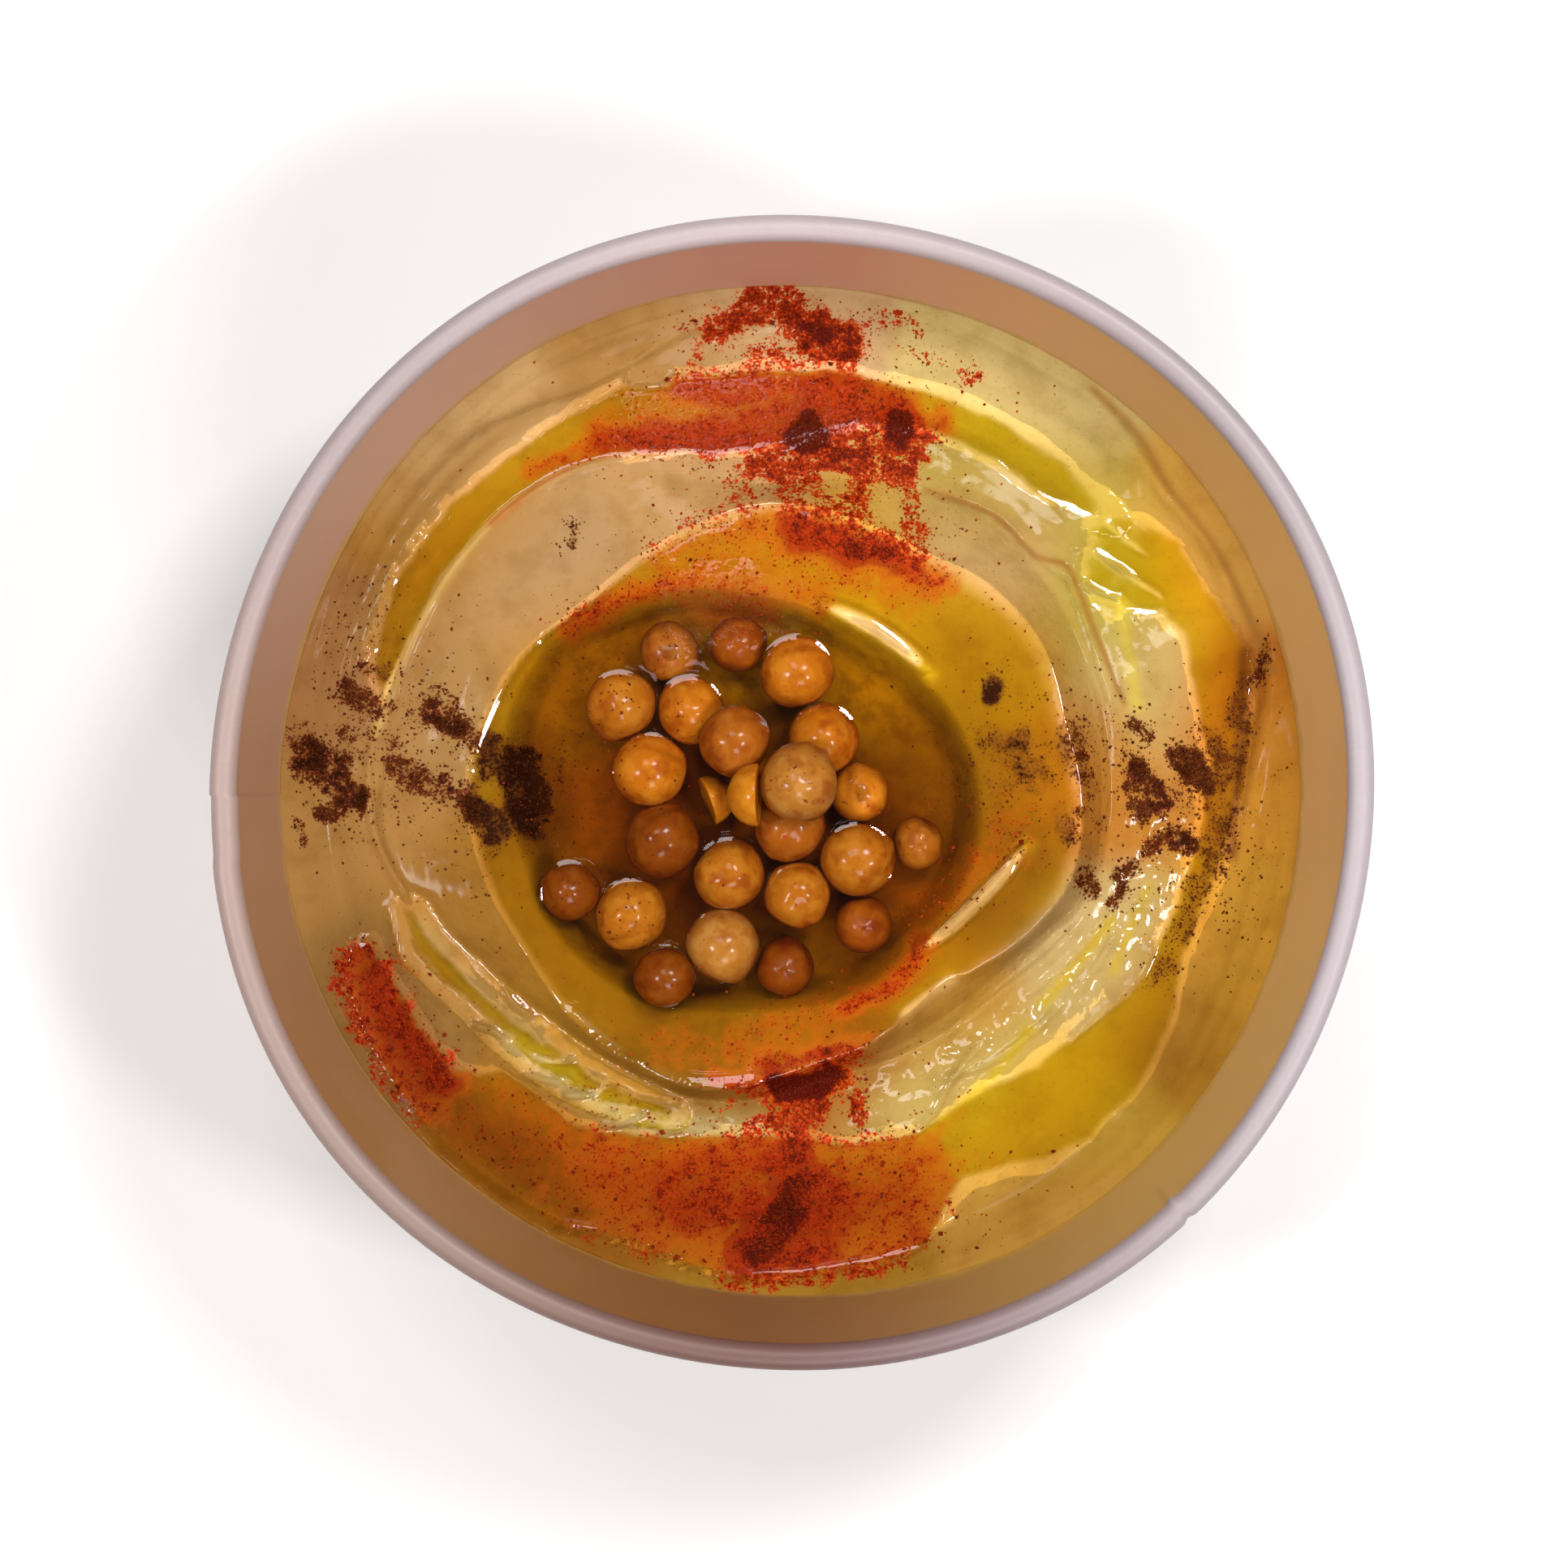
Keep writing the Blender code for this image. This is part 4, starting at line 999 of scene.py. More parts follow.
# thinly scattered grains of paprika
PAPRIKA_DUST = (
    (((84, 51.5), (96, 52.0), (106, 52.6), (114, 54.4)), 2.6, 2.2),
    (((96, 25.0), (108, 27.0)), 4.0, 0.25),
    (((64, 60.0), (90, 61.0), (110, 59.0)), 7.0, 0.08),
    (((62, 44.0), (90, 41.0), (112, 40.0)), 6.0, 0.16),
    (((50, 36.0), (90, 33.0), (130, 36.0)), 5.0, 0.14),
    (((215, 60.0), (255, 58.0), (285, 56.0)), 9.0, 0.13),
    (((235, 38.0), (270, 36.0), (300, 34.0)), 6.0, 0.10),
    (((180, 20.0), (330, 20.0)), 22.0, 0.012),
)
CUMIN = (
    # left
    (((175.5, 65.4), (176.5, 64.0), (177, 62.4)), 2.3, 1.6), (((179.5, 61.4), (180.5, 59.6)), 1.9, 1.5),
    (((166.5, 62.4), (168, 60.6), (168.6, 57.4)), 1.3, 1.0), (((164, 60.6), (163.4, 58.0)), 0.9, 0.7),
    (((182.4, 63.6), (182.6, 61.4)), 1.2, 1.0), (((172, 63.6), (172.6, 60.0)), 1.0, 0.5),
    (((183, 66.6), (186, 66.0)), 0.6, 0.6), (((172, 57.6), (173, 55.0)), 0.9, 0.6),
    (((167.2, 50.4), (168, 48.8), (169.6, 46.8)), 1.6, 1.4), (((164, 50.4), (166, 47.0)), 0.9, 0.5),
    (((176.4, 54.4), (177.4, 50.6), (178.6, 48.0)), 1.2, 1.0), (((179, 50.6), (180, 47.4)), 1.3, 1.15),
    (((181.6, 44.6), (184, 42.8), (187, 41.4)), 1.7, 1.5), (((171, 42.4), (176, 41.6)), 1.5, 1.2),
    (((169, 45.6), (172, 44.0)), 1.1, 0.7),
    (((173, 37.4), (178, 36.4), (184, 35.8)), 2.1, 1.7),
    (((176, 39.4), (183, 37.8), (188, 36.6)), 1.4, 1.5),
    (((175, 33.4), (181, 32.8)), 1.6, 0.8), (((168, 35.0), (170, 31.0)), 1.6, 0.35),
    # right
    (((357, 60.7), (2, 61.2), (6, 62.0), (10, 63.6), (14, 65.4), (17.5, 67.4)), 0.60, 0.62),
    (((9, 61.6), (13, 63.6)), 1.4, 0.6), (((1, 56.4), (4, 55.4)), 1.6, 1.15),
    (((6, 57.4), (9, 57.0)), 1.0, 0.6),
    (((2, 54.4), (5, 52.6)), 1.2, 1.2), (((358.6, 50.6), (1.6, 49.0), (3, 47.0)), 1.5, 1.4),
    (((356, 48.0), (358, 46.4)), 0.9, 0.8), (((9, 49.2), (11, 47.4)), 1.1, 0.70),
    (((352, 54.4), (353.6, 52.6)), 1.3, 1.5), (((352.4, 50.6), (350.6, 48.8)), 1.0, 0.85),
    (((348.0, 47.4), (346.0, 46.2)), 1.2, 0.95), (((343, 47.0), (341, 46.0)), 0.9, 1.0),
    (((341.6, 43.4), (343.6, 41.4)), 1.0, 0.9), (((354, 42.0), (356, 39.4)), 1.1, 0.7),
    (((350, 58.6), (356, 58.2), (2, 58.8), (9, 59.0)), 1.7, 0.62),
    (((333, 56.2), (340, 56.6), (347, 57.0)), 1.7, 0.45),
    (((1, 41.0), (7, 39.0), (13, 38.8)), 1.4, 0.7), (((4, 33.6), (9, 31.6), (14, 29.0)), 2.6, 0.85),
    (((352, 38.6), (356, 36.4)), 1.6, 0.6), (((26, 30.6), (28, 31.4)), 1.0, 1.5),
    (((348, 32.0), (356, 30.0), (4, 29.0)), 3.0, 0.4), (((8, 25.0), (354, 25.6)), 2.4, 0.5),
)
CUMIN_DUST = (
    (((160, 62.0), (176, 52.0), (186, 40.0)), 6.5, 0.10),
    (((350, 58.0), (4, 50.0), (10, 36.0)), 7.0, 0.11),
    (((130, 47.0), (132, 45.6)), 1.0, 0.5),
    (((140, 34.0), (160, 30.0), (200, 28.0)), 6.0, 0.05),
)


def cloud_map(clouds, spread=1.0):
    """How much of a spice lies at each place of the map."""
    total = np.zeros(map_x.shape)
    ragged = rough(map_x, map_y, 2.4, 59)
    for path, half_width, strength in clouds:
        away = across_line(map_x, map_y, drawn_line(path, between=3))[0]
        away = np.maximum(away + 0.8 * half_width * ragged, 0.0)
        core = 1.0 - ramp(away, 0.5 * spread * half_width, 1.5 * spread * half_width)
        skirt = 0.45 * bell(away, 1.7 * spread * half_width)
        total = np.maximum(total, strength * np.maximum(core, skirt))
    return total


print("clouds:", len(PAPRIKA) + len(CUMIN), "thin clouds:", len(PAPRIKA_DUST) + len(CUMIN_DUST))

# %% Where the spices lie and bleed
# grains gather in clumps, so the clouds are broken up before use
clumps = ramp(rough(map_x, map_y, 2.2, 51), -0.5, 0.5)
small_clumps = ramp(rough(map_x, map_y, 0.9, 57, 2), -0.5, 0.5)
paprika_map = cloud_map(PAPRIKA) * (0.80 + 0.20 * clumps)
cumin_map = cloud_map(CUMIN, 1.15) * (0.45 + 0.30 * clumps + 0.25 * small_clumps)
# the red that has bled into oil and paste reaches further than the powder
stain_map = cloud_map(PAPRIKA, 1.7) + 0.5 * np.minimum(cloud_map(PAPRIKA_DUST), 0.4)
CLEAN_RIDGE = ((215, 50.5), (228, 49.5), (240, 48.8), (252, 47.0))
stain_map *= 1.0 - near_path(map_x, map_y, CLEAN_RIDGE, 3.0)
# the brown of spice steeped in the deepest oil
DEEPEST = ((203, 63), (214, 63), (226, 62), (242, 60), (258, 58), (272, 57), (285, 57))
murk_map = near_path(map_x, map_y, DEEPEST, 6.5)
print("most paprika:", paprika_map.max().round(2), "most cumin:", cumin_map.max().round(2))

# %% [markdown]
# ## The hummus
#
# The spread is one closed skin: a polar grid on top, close enough to hold every
# stroke, and plain sides down to the bottom disc. Hummus is ground chickpea with
# sesame, so it is pale and a little grainy. A film of oil makes some places shine, and
# a dust of spice or old oil changes the tone, so tones are set at a few places and
# blended over the whole surface. A few of these tones are painted light, lighter
# where the wall or the chickpeas shade the paste.

# %% Tones of the spread
# degrees, radius, colour
TONES = (
    (135, 63, (0.60, 0.37, 0.150)), (165, 62, (0.38, 0.175, 0.055)), (185, 60, (0.43, 0.220, 0.058)),
    (205, 56, (0.33, 0.185, 0.046)), (200, 48, (0.34, 0.150, 0.018)), (235, 48, (0.40, 0.20, 0.022)),
    # (60, 64) is painted light: lightened where the wall shades the band
    (95, 62, (0.60, 0.38, 0.180)), (60, 64, (0.66, 0.50, 0.185)), (30, 66, (0.72, 0.38, 0.070)),
    (5, 65, (0.60, 0.28, 0.030)), (340, 65, (0.56, 0.28, 0.028)), (305, 66, (0.54, 0.29, 0.045)),
    (270, 68, (0.42, 0.22, 0.022)), (55, 51, (0.42, 0.30, 0.045)), (15, 51, (0.56, 0.43, 0.145)),
    (330, 48, (0.60, 0.44, 0.170)), (300, 44, (0.60, 0.44, 0.115)), (305, 37, (0.50, 0.24, 0.024)),
    (50, 42, (0.59, 0.37, 0.140)), (5, 42, (0.51, 0.200, 0.024)), (140, 46, (0.50, 0.30, 0.128)),
    (165, 48, (0.43, 0.240, 0.075)), (105, 42, (0.56, 0.32, 0.115)), (105, 60, (0.44, 0.23, 0.060)),
    # under the oil
    (35, 33, (0.47, 0.25, 0.030)), (75, 30, (0.62, 0.36, 0.06)), (150, 36, (0.54, 0.26, 0.05)),
    (205, 40, (0.38, 0.18, 0.020)), (245, 38, (0.31, 0.140, 0.018)), (290, 33, (0.38, 0.135, 0.02)),
    (335, 29, (0.31, 0.130, 0.025)), (310, 57, (0.57, 0.36, 0.04)), (330, 58, (0.41, 0.19, 0.016)),
    (140, 58, (0.42, 0.19, 0.02)), (10, 60, (0.50, 0.130, 0.008)), (240, 60, (0.38, 0.150, 0.012)),
    # (200, 22) is painted light: lightened where the chickpeas shade the well floor
    (330, 12, (0.44, 0.130, 0.02)), (200, 22, (0.48, 0.145, 0.018)), (60, 16, (0.70, 0.42, 0.05)),
    (270, 24, (0.38, 0.200, 0.03)), (12, 20, (0.38, 0.190, 0.02)), (34, 53, (0.44, 0.34, 0.05)),
)
TONE_REACH = 7.5
# the lamps are brighter than white needs, and the tones are darker by as much
TONE_GAIN = 1.0 / EXTRA_LIGHT
print("tones:", len(TONES))

# %% Narrow marks on the spread
# narrow marks on the paste: path, half width, colour, amount
MARKS = (
    (((118, 52.5), (126, 53.9), (140, 55.3), (158, 56.0), (172, 57.2)), 0.8, (0.70, 0.47, 0.14), 0.8),
    (((222, 50.5), (234, 49.5), (244, 49.5), (256, 47.6), (264, 46.4)), 2.4, (0.50, 0.40, 0.15), 0.8),
    (((288, 46.5), (300, 45.0), (318, 46.6), (332, 49.0), (344, 51.5)), 3.2, (0.54, 0.40, 0.12), 0.5),
    (((309, 28.0), (320, 28.6), (331, 29.8), (340, 31.4), (347, 33.0)), 1.2, (0.68, 0.42, 0.13), 1.0),
    (((40, 25.2), (54, 24.9), (65, 25.2), (80, 26.4)), 1.0, (0.80, 0.52, 0.20), 1.0),
    (((297, 33.8), (303, 33.2), (310, 33.6)), 1.2, (0.66, 0.42, 0.14), 0.8),
    (((200, 53.6), (208, 51.6), (216, 49.8), (224, 48.2)), 1.6, (0.36, 0.235, 0.080), 0.7),
    # thin oil lying in the grooves
    (((291, 50.4), (300, 48.4), (307, 47.2), (315, 45.8)), 0.9, (0.62, 0.43, 0.012), 0.75),
    (((320, 44.8), (329, 45.4), (338, 46.8)), 0.9, (0.62, 0.43, 0.012), 0.75),
    (((331, 50.2), (338, 49.8), (345, 50.2)), 0.7, (0.62, 0.43, 0.012), 0.6),
    (((14, 48.4), (22, 49.6), (30, 52.0)), 0.9, (0.66, 0.52, 0.06), 0.7),
    # edges where one fold lies over the next, most of them brown with painted shade
    # painted shadow along the inner edge of the right crest
    (((15, 46.8), (28, 46.8), (36, 48.0), (40, 48.4), (44, 46.2), (54, 46.6), (66, 45.0)),
     0.45, (0.36, 0.16, 0.030), 0.8),
    # painted shade in the crease where the right band's lip overlaps
    (((14, 67.0), (22, 66.4), (31, 66.2), (38, 65.6), (46, 67.2), (53, 67.8)),
     0.6, (0.42, 0.19, 0.035), 0.8),
    (((352, 60.6), (2, 61.0), (10, 62.6), (17, 64.6)), 0.9, (0.20, 0.060, 0.010), 0.85),
    (((95, 47.4), (105, 49.6), (116, 52.2), (126, 54.0), (138, 54.8)), 0.7, (0.50, 0.10, 0.010), 0.6),
    # painted shadow in the recess under the upper left lip
    (((118, 62.2), (130, 62.8), (146, 62.6), (160, 61.8)), 1.6, (0.36, 0.19, 0.045), 0.7),
    (((131, 45.5), (131.4, 45.4)), 0.5, (0.20, 0.07, 0.015), 0.9),
    # brown steeping round the cumin that has sunk
    (((173, 35.0), (180, 34.0), (187, 34.0)), 4.5, (0.16, 0.055, 0.010), 0.75),
    # the murky oil between the chickpeas, with painted shade where they crowd together
    (((185, 15), (225, 17), (270, 15), (325, 10), (90, 7), (150, 12)), 7.0, (0.26, 0.055, 0.008), 0.8),
)


def tone_at(x, y):
    """The paste's own colour, blended from the places above."""
    weight_sum = np.full(x.shape, 1e-9)
    colour = np.zeros((*x.shape, 3))
    for at, radius, shade in TONES:
        px, py = flat_points([(at, radius)])[0]
        weight = bell(np.hypot(x - px, y - py), TONE_REACH) + 1e-7
        weight_sum += weight
        colour += weight[..., None] * np.array(shade)
    colour /= weight_sum[..., None]
    for path, half_width, shade, amount in MARKS:
        share = (amount * near_path(x, y, path, half_width))[..., None]
        colour = colour * (1.0 - share) + np.array(shade) * share
    return colour * TONE_GAIN


print("tone at the left:", tone_at(np.array(-55.0), np.array(0.0)).round(2))

# %% Wet places and soaked places
# a thin film of oil: path, half width, amount
WET_PLACES = (
    (((284, 44.0), (300, 43.0), (315, 45.0), (330, 48.0), (345, 50.0), (356, 50.5)), 6.0, 1.0),
    (((0, 50.0), (15, 51.0), (30, 51.0), (45, 50.0), (60, 49.0), (70, 48.5)), 5.0, 0.22),
    (((26, 58.0), (40, 59.0), (55, 61.0)), 3.0, 0.6),
    (((203, 54.0), (220, 50.0), (235, 48.0), (250, 46.0)), 3.2, 0.6),
    (((120, 34.0), (100, 38.0), (80, 39.0), (60, 38.0)), 3.0, 0.7),
    (((262, 46.0), (275, 42.0), (285, 38.0)), 3.5, 0.8),
    (((92, 66.0), (88, 60.0)), 3.0, 0.5),
)


def wetness(x, y):
    wet = 0.22 - 0.18 * ramp(np.hypot(x, y), 62.0, 66.5)
    for path, half_width, amount in WET_PLACES:
        wet = np.maximum(wet, amount * near_path(x, y, path, half_width))
    for name, shore, level, depth, softness, slope in POOLS:
        wet = np.maximum(wet, 0.22 * bell(np.maximum(from_shore(x, y, flat_points(shore)), 0), 1.4))
    degrees = np.degrees(np.arctan2(y, x)) % 360.0
    beyond = np.hypot(x, y) - ring(CENTRE_SHORE, degrees)
    return np.maximum(wet, 0.30 * bell(np.maximum(beyond, 0), 1.4))


def soak(x, y, z):
    """1 where the paste lies under a pool, 0 where it is clear of the oil."""
    degrees = np.degrees(np.arctan2(y, x)) % 360.0
    beyond = np.hypot(x, y) - ring(CENTRE_SHORE, degrees)
    amount = ramp(CENTRE_OIL - z, -0.08, 0.6) * (beyond < 3.0)
    for name, shore, level, depth, softness, slope in POOLS:
        near = from_shore(x, y, flat_points(shore)) < 2.5
        amount = np.maximum(amount, ramp(level - z, -0.08, 0.6) * near)
    return amount


print("wetness at the left:", wetness(np.array(-55.0), np.array(0.0)).round(2))

# %% [markdown]
# ### Its finish
#
# Plain paste is one colour with a fine grain. Where it lies under oil it is darker and
# yellower. Paprika first bleeds into oil as a soft orange, and its powder lies on top
# of that. Each of these is one more layer in the nodes, and each reads a painted value
# that says how much of it there is.

# %% Paste, plain and soaked
SOAKED = (0.68, 0.64, 0.06)
hummus_finish, tree, shader = new_finish("hummus_paste")
grain = noise(tree, 0.7, 3.0)
patch = noise(tree, 5.0, 3.0)
tone = painted_colour(tree, "tone")
darker = tinted(tree, tone, (0.86, 0.82, 0.74))
base = blend(tree, rise(tree, patch, 0.42, 0.72), tone, darker)
fine = rise(tree, grain, 0.60, 0.72)
base = blend(tree, times(tree, fine, 0.30), base, (0.32, 0.15, 0.035))
silt = times(tree, rise(tree, noise(tree, 3.2, 4.0, 0.6), 0.42, 0.66), painted(tree, "silt"))
base = blend(tree, times(tree, silt, 0.50), base, (0.19, 0.075, 0.008))
under_oil = tinted(tree, base, SOAKED)
base = blend(tree, painted(tree, "soak"), base, under_oil)
print("nodes so far:", len(tree.nodes))

# %% Red that has bled, and specks of powder
fine_powder = minus(tree, noise(tree, 0.45, 2.0, 0.6), 0.5)
coarse_powder = minus(tree, noise(tree, 1.5, 2.0, 0.6), 0.5)
speckle = times(tree, fine_powder, 2.4)
speckle = plus(tree, speckle, times(tree, coarse_powder, 2.2))
bled = plus(tree, painted(tree, "stain"), times(tree, coarse_powder, 0.5))
base = blend(tree, times(tree, rise(tree, bled, 0.10, 0.75), 0.85), base, (0.37, 0.095, 0.005))
base = blend(tree, times(tree, rise(tree, bled, 0.70, 1.20), 0.80), base, (0.25, 0.024, 0.003))
print("nodes so far:", len(tree.nodes))

# %% Powder on the paste


def dusted(amount):
    """A painted amount broken into specks, and none where there is none."""
    share = times(tree, amount, 3.0, clamp=True)
    return plus(tree, amount, times(tree, speckle, share))


bed = painted(tree, "soak")


def powdered(base, amount, broken, dry_colour, wet_colour, darkest):
    """Powder over a colour: specks where dry, a soft cloud with specks where it lies in oil.

    Thicker powder is darker: half the wet colour first, then the darkest one.
    """
    dry = rise(tree, broken, 0.46, 0.70)
    soft = plus(tree, amount, times(tree, speckle, 0.35))
    soft = rise(tree, soft, 0.25, 1.15)
    share = plus(tree, dry, times(tree, bed, minus(tree, soft, dry)))
    base = blend(tree, share, base, blend(tree, bed, dry_colour, wet_colour))
    base = blend(tree, rise(tree, broken, 0.84, 1.16), base, tuple(0.52 * c for c in wet_colour))
    return blend(tree, rise(tree, broken, 1.20, 1.60), base, darkest)


print("powder ready")

# %% Paprika, cumin and the shine of the paste
amount = painted(tree, "paprika")
red = dusted(amount)
base = powdered(base, amount, red, (0.42, 0.036, 0.004), (0.36, 0.026, 0.003), (0.085, 0.005, 0.003))
seeds = painted(tree, "cumin")
brown = dusted(seeds)
base = blend(tree, times(tree, rise(tree, seeds, 0.10, 0.80), 0.55), base, (0.21, 0.070, 0.012))
base = powdered(base, seeds, brown, (0.110, 0.019, 0.004), (0.040, 0.009, 0.003), (0.025, 0.004, 0.002))
steeped = tinted(tree, base, (0.80, 0.64, 0.70))
base = blend(tree, painted(tree, "murk"), base, steeped)
shine = times(tree, painted(tree, "wet"), -0.42)
dullness = plus(tree, shine, 0.56, clamp=True)
bare = minus(tree, 1.0, rise(tree, calculate(tree, "MAXIMUM", red, brown), 0.35, 0.70))
film = times(tree, times(tree, painted(tree, "wet"), 0.6), bare)
set_inputs(tree, shader, Base_Color=base, Roughness=dullness, IOR=1.45)
# a broad dull shine would grey the dark spice, so nearly all of it is a thin clear coat
set_inputs(tree, shader, Specular_IOR_Level=0.04, Coat_Weight=film, Coat_Roughness=0.10)
lumps = plus(tree, grain, times(tree, patch, 1.2))
add_bump(tree, shader, lumps, 0.45, 0.25)
print("hummus finish ready")

# %% Top of the hummus
# rows in the well and beyond it, points in each row, rows down the side
WELL_ROWS, TOP_ROWS, TOP_ANGLES, SIDE_ROWS = 22, 128, 620, 8
# the share of the radius that the well takes, and the first row, too small to see
WELL_SHARE, FIRST_ROW = 0.33, 0.004
# the edge reaches a little into the paper, and paste climbs it
INTO_PAPER, EDGE_CLIMB = 0.15, 0.35

top_degrees = np.arange(TOP_ANGLES) * 360.0 / TOP_ANGLES
edge_height = ring(WALL_HEIGHT, top_degrees)
cos_top, sin_top = np.cos(np.radians(top_degrees)), np.sin(np.radians(top_degrees))
# the wall widens upward, so its radius at the edge is found in two goes
for _ in range(2):
    edge_radius = (wall_line(edge_height) - PAPER / 2 + INTO_PAPER) * out_of_round(top_degrees)
    edge_height = spread_height(edge_radius * cos_top, edge_radius * sin_top)
print("edge between", edge_height.min().round(1), "and", edge_height.max().round(1), "mm")
well_share = np.linspace(FIRST_ROW, WELL_SHARE, WELL_ROWS)
outer_share = np.linspace(WELL_SHARE, 1.0, TOP_ROWS + 1)[1:]
share = np.concatenate([well_share, outer_share])[:, None]
top_x = share * edge_radius * cos_top
top_y = share * edge_radius * sin_top
top_z = spread_height(top_x, top_y)
from_wall = (1.0 - share) * edge_radius
top_z = top_z + EDGE_CLIMB * bell(from_wall, 0.9) * (0.6 + 0.6 * rough(top_x, top_y, 8.0, 61))
print("top between", top_z.min().round(1), "and", top_z.max().round(1), "mm")

# %% Sides and bottom of the hummus
# the paste stands just clear of the paper below its edge
ABOVE_DISC, CLEAR_OF_WALL = 0.3, 0.1
bottom_height = DISC_TOP + ABOVE_DISC
side_share = np.linspace(0.0, 1.0, SIDE_ROWS + 1)[1:, None]
side_z = top_z[-1] + (bottom_height - top_z[-1]) * side_share
side_radius = (wall_line(side_z) - PAPER / 2 - CLEAR_OF_WALL) * out_of_round(top_degrees)
all_x = np.concatenate([top_x, side_radius * cos_top])
all_y = np.concatenate([top_y, side_radius * sin_top])
grid = np.stack([all_x, all_y, np.concatenate([top_z, side_z])], axis=-1)
points = grid.reshape(-1, 3)
faces = stacked_rings(list(grid))
faces.append(list(range(TOP_ANGLES))[::-1])
last = len(points) - TOP_ANGLES
faces.append(list(range(last, len(points))))
hummus = place_mesh("hummus_spread", points, [face[::-1] for face in faces], hummus_finish)

# %% Values painted on the hummus
x, y = points[:, 0], points[:, 1]
for name, values in (("paprika", paprika_map), ("cumin", cumin_map), ("murk", murk_map)):
    paint(hummus, name, read_map(values, x, y))
soaked = soak(x, y, points[:, 2])
paint(hummus, "soak", soaked)
into_well = ring(WELL_RIM, np.degrees(np.arctan2(y, x)) % 360.0) - np.hypot(x, y)
paint(hummus, "silt", ramp(into_well, -1.0, 3.0))
paint(hummus, "wet", wetness(x, y) * (1.0 - soaked))
paint(hummus, "stain", read_map(stain_map, x, y) * (0.25 + 0.75 * soaked))
paint_colour(hummus, "tone", tone_at(x, y))
in_place(hummus, "hummus", "hummus")

# %% [markdown]
# ## The chickpeas
#
# A boiled chickpea is a ball with two rounded cheeks, a cleft between them, and a
# beak where it grew from the pod. Its skin is thin and a little wrinkled, and wet with
# oil. One ball is made once and bent by a few soft sums, which gives every pea its own
# shape. Each one takes the place, size and beak of its solid.

# %% Shape of one chickpea
BALL_DETAIL = 4
PLUMP = 1.10
BEAK_RISE, BEAK_WIDTH = 0.15, 0.36
CLEFT_DEPTH, CLEFT_WIDTH = 0.10, 0.17
HALF_NODES = ("half_chickpea_01", "half_chickpea_02")
chickpea_nodes = sorted(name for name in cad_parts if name.startswith("chickpea"))


def unit_ball(detail):
    shape = bmesh.new()
    bmesh.ops.create_icosphere(shape, subdivisions=detail, radius=1.0)
    points = np.array([vertex.co for vertex in shape.verts])
    faces = [[vertex.index for vertex in face.verts] for face in shape.faces]
    shape.free()
    return points, faces


def chickpea_points(ball, seed):
    """A chickpea with its beak towards +X and its cleft upward."""
    x, y, z = ball.T
    swell = 1.0 + BEAK_RISE * np.exp(-(1.0 - x) / BEAK_WIDTH**2 * 2.0)
    cheeks = 0.03 * np.exp(-((np.abs(y) - 0.5) / 0.4) ** 2) * ramp(x, -0.4, 0.6)
    front = ramp(x, -0.15, 0.75) * ramp(z, -0.6, 0.3)
    cleft = CLEFT_DEPTH * bell(y, CLEFT_WIDTH) * front
    soft_lumps = 0.050 * rough(1.3 * x + seed, 1.3 * y + 0.9 * z, 1.0, 70 + seed)
    soft_lumps += 0.045 * unevenness(1.1 * z - seed, 1.2 * x - 0.8 * y, 1.0, 170 + seed)
    wrinkles = 0.010 * rough(9.0 * y + seed, 4.0 * z + 3.0 * x, 1.0, 90 + seed)
    radius = swell + cheeks - cleft + soft_lumps + wrinkles
    return ball * radius[:, None]


def solid_of(name):
    """The solid's points in millimetres and its middle."""
    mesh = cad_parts[name].data
    points = np.array([vertex.co for vertex in mesh.vertices]) / MM
    return points, (points.min(axis=0) + points.max(axis=0)) / 2


def facing(direction, seed):
    """A turn that brings +X to a direction, then spins about it."""
    turn = Vector(direction).to_track_quat("X", "Z").to_matrix()
    spin = Matrix.Rotation(0.9 * math.sin(2.4 * seed), 3, "X")
    return np.array(turn @ spin)


print("whole chickpeas:", len(chickpea_nodes))

# %% [markdown]
# ### Their colours
#
# The skins differ. Those on top are orange, tan or pale, those under the oil look
# brown, and the halves show the yellow inside. Each whole pea is also painted darker
# down its sides, as shade. One finish serves them all: it reads the colour, painted
# shade included, and how far the skin has browned in spots, from the mesh.

# %% Colours of the chickpeas
SKIN, ORANGE = (0.39, 0.120, 0.006), (0.45, 0.130, 0.005)
PALE, TAN, INSIDE = (0.40, 0.155, 0.020), (0.34, 0.090, 0.006), (0.48, 0.155, 0.006)
SUNKEN, SUNKEN_PALE, DEEP = (0.20, 0.044, 0.002), (0.26, 0.080, 0.008), (0.15, 0.030, 0.001)
SKINS = {
    "chickpea_01": SUNKEN_PALE, "chickpea_02": SUNKEN, "chickpea_03": SUNKEN, "chickpea_04": SUNKEN_PALE,
    "chickpea_05": SUNKEN, "chickpea_06": SUNKEN, "chickpea_07": DEEP, "chickpea_08": ORANGE,
    "chickpea_10": ORANGE, "chickpea_11": ORANGE, "chickpea_12": ORANGE, "chickpea_14": TAN,
    "chickpea_16": SUNKEN, "chickpea_20": PALE, "chickpea_21": TAN, "chickpea_22": PALE,
    "half_chickpea_01": INSIDE, "half_chickpea_02": INSIDE,
}
# painted shade: the colour deepens down the sides of each whole pea, below its top
SIDE_PAINTED_SHADE = (0.55, 0.36, 0.25)
print("colours of skins:", len(SKINS))

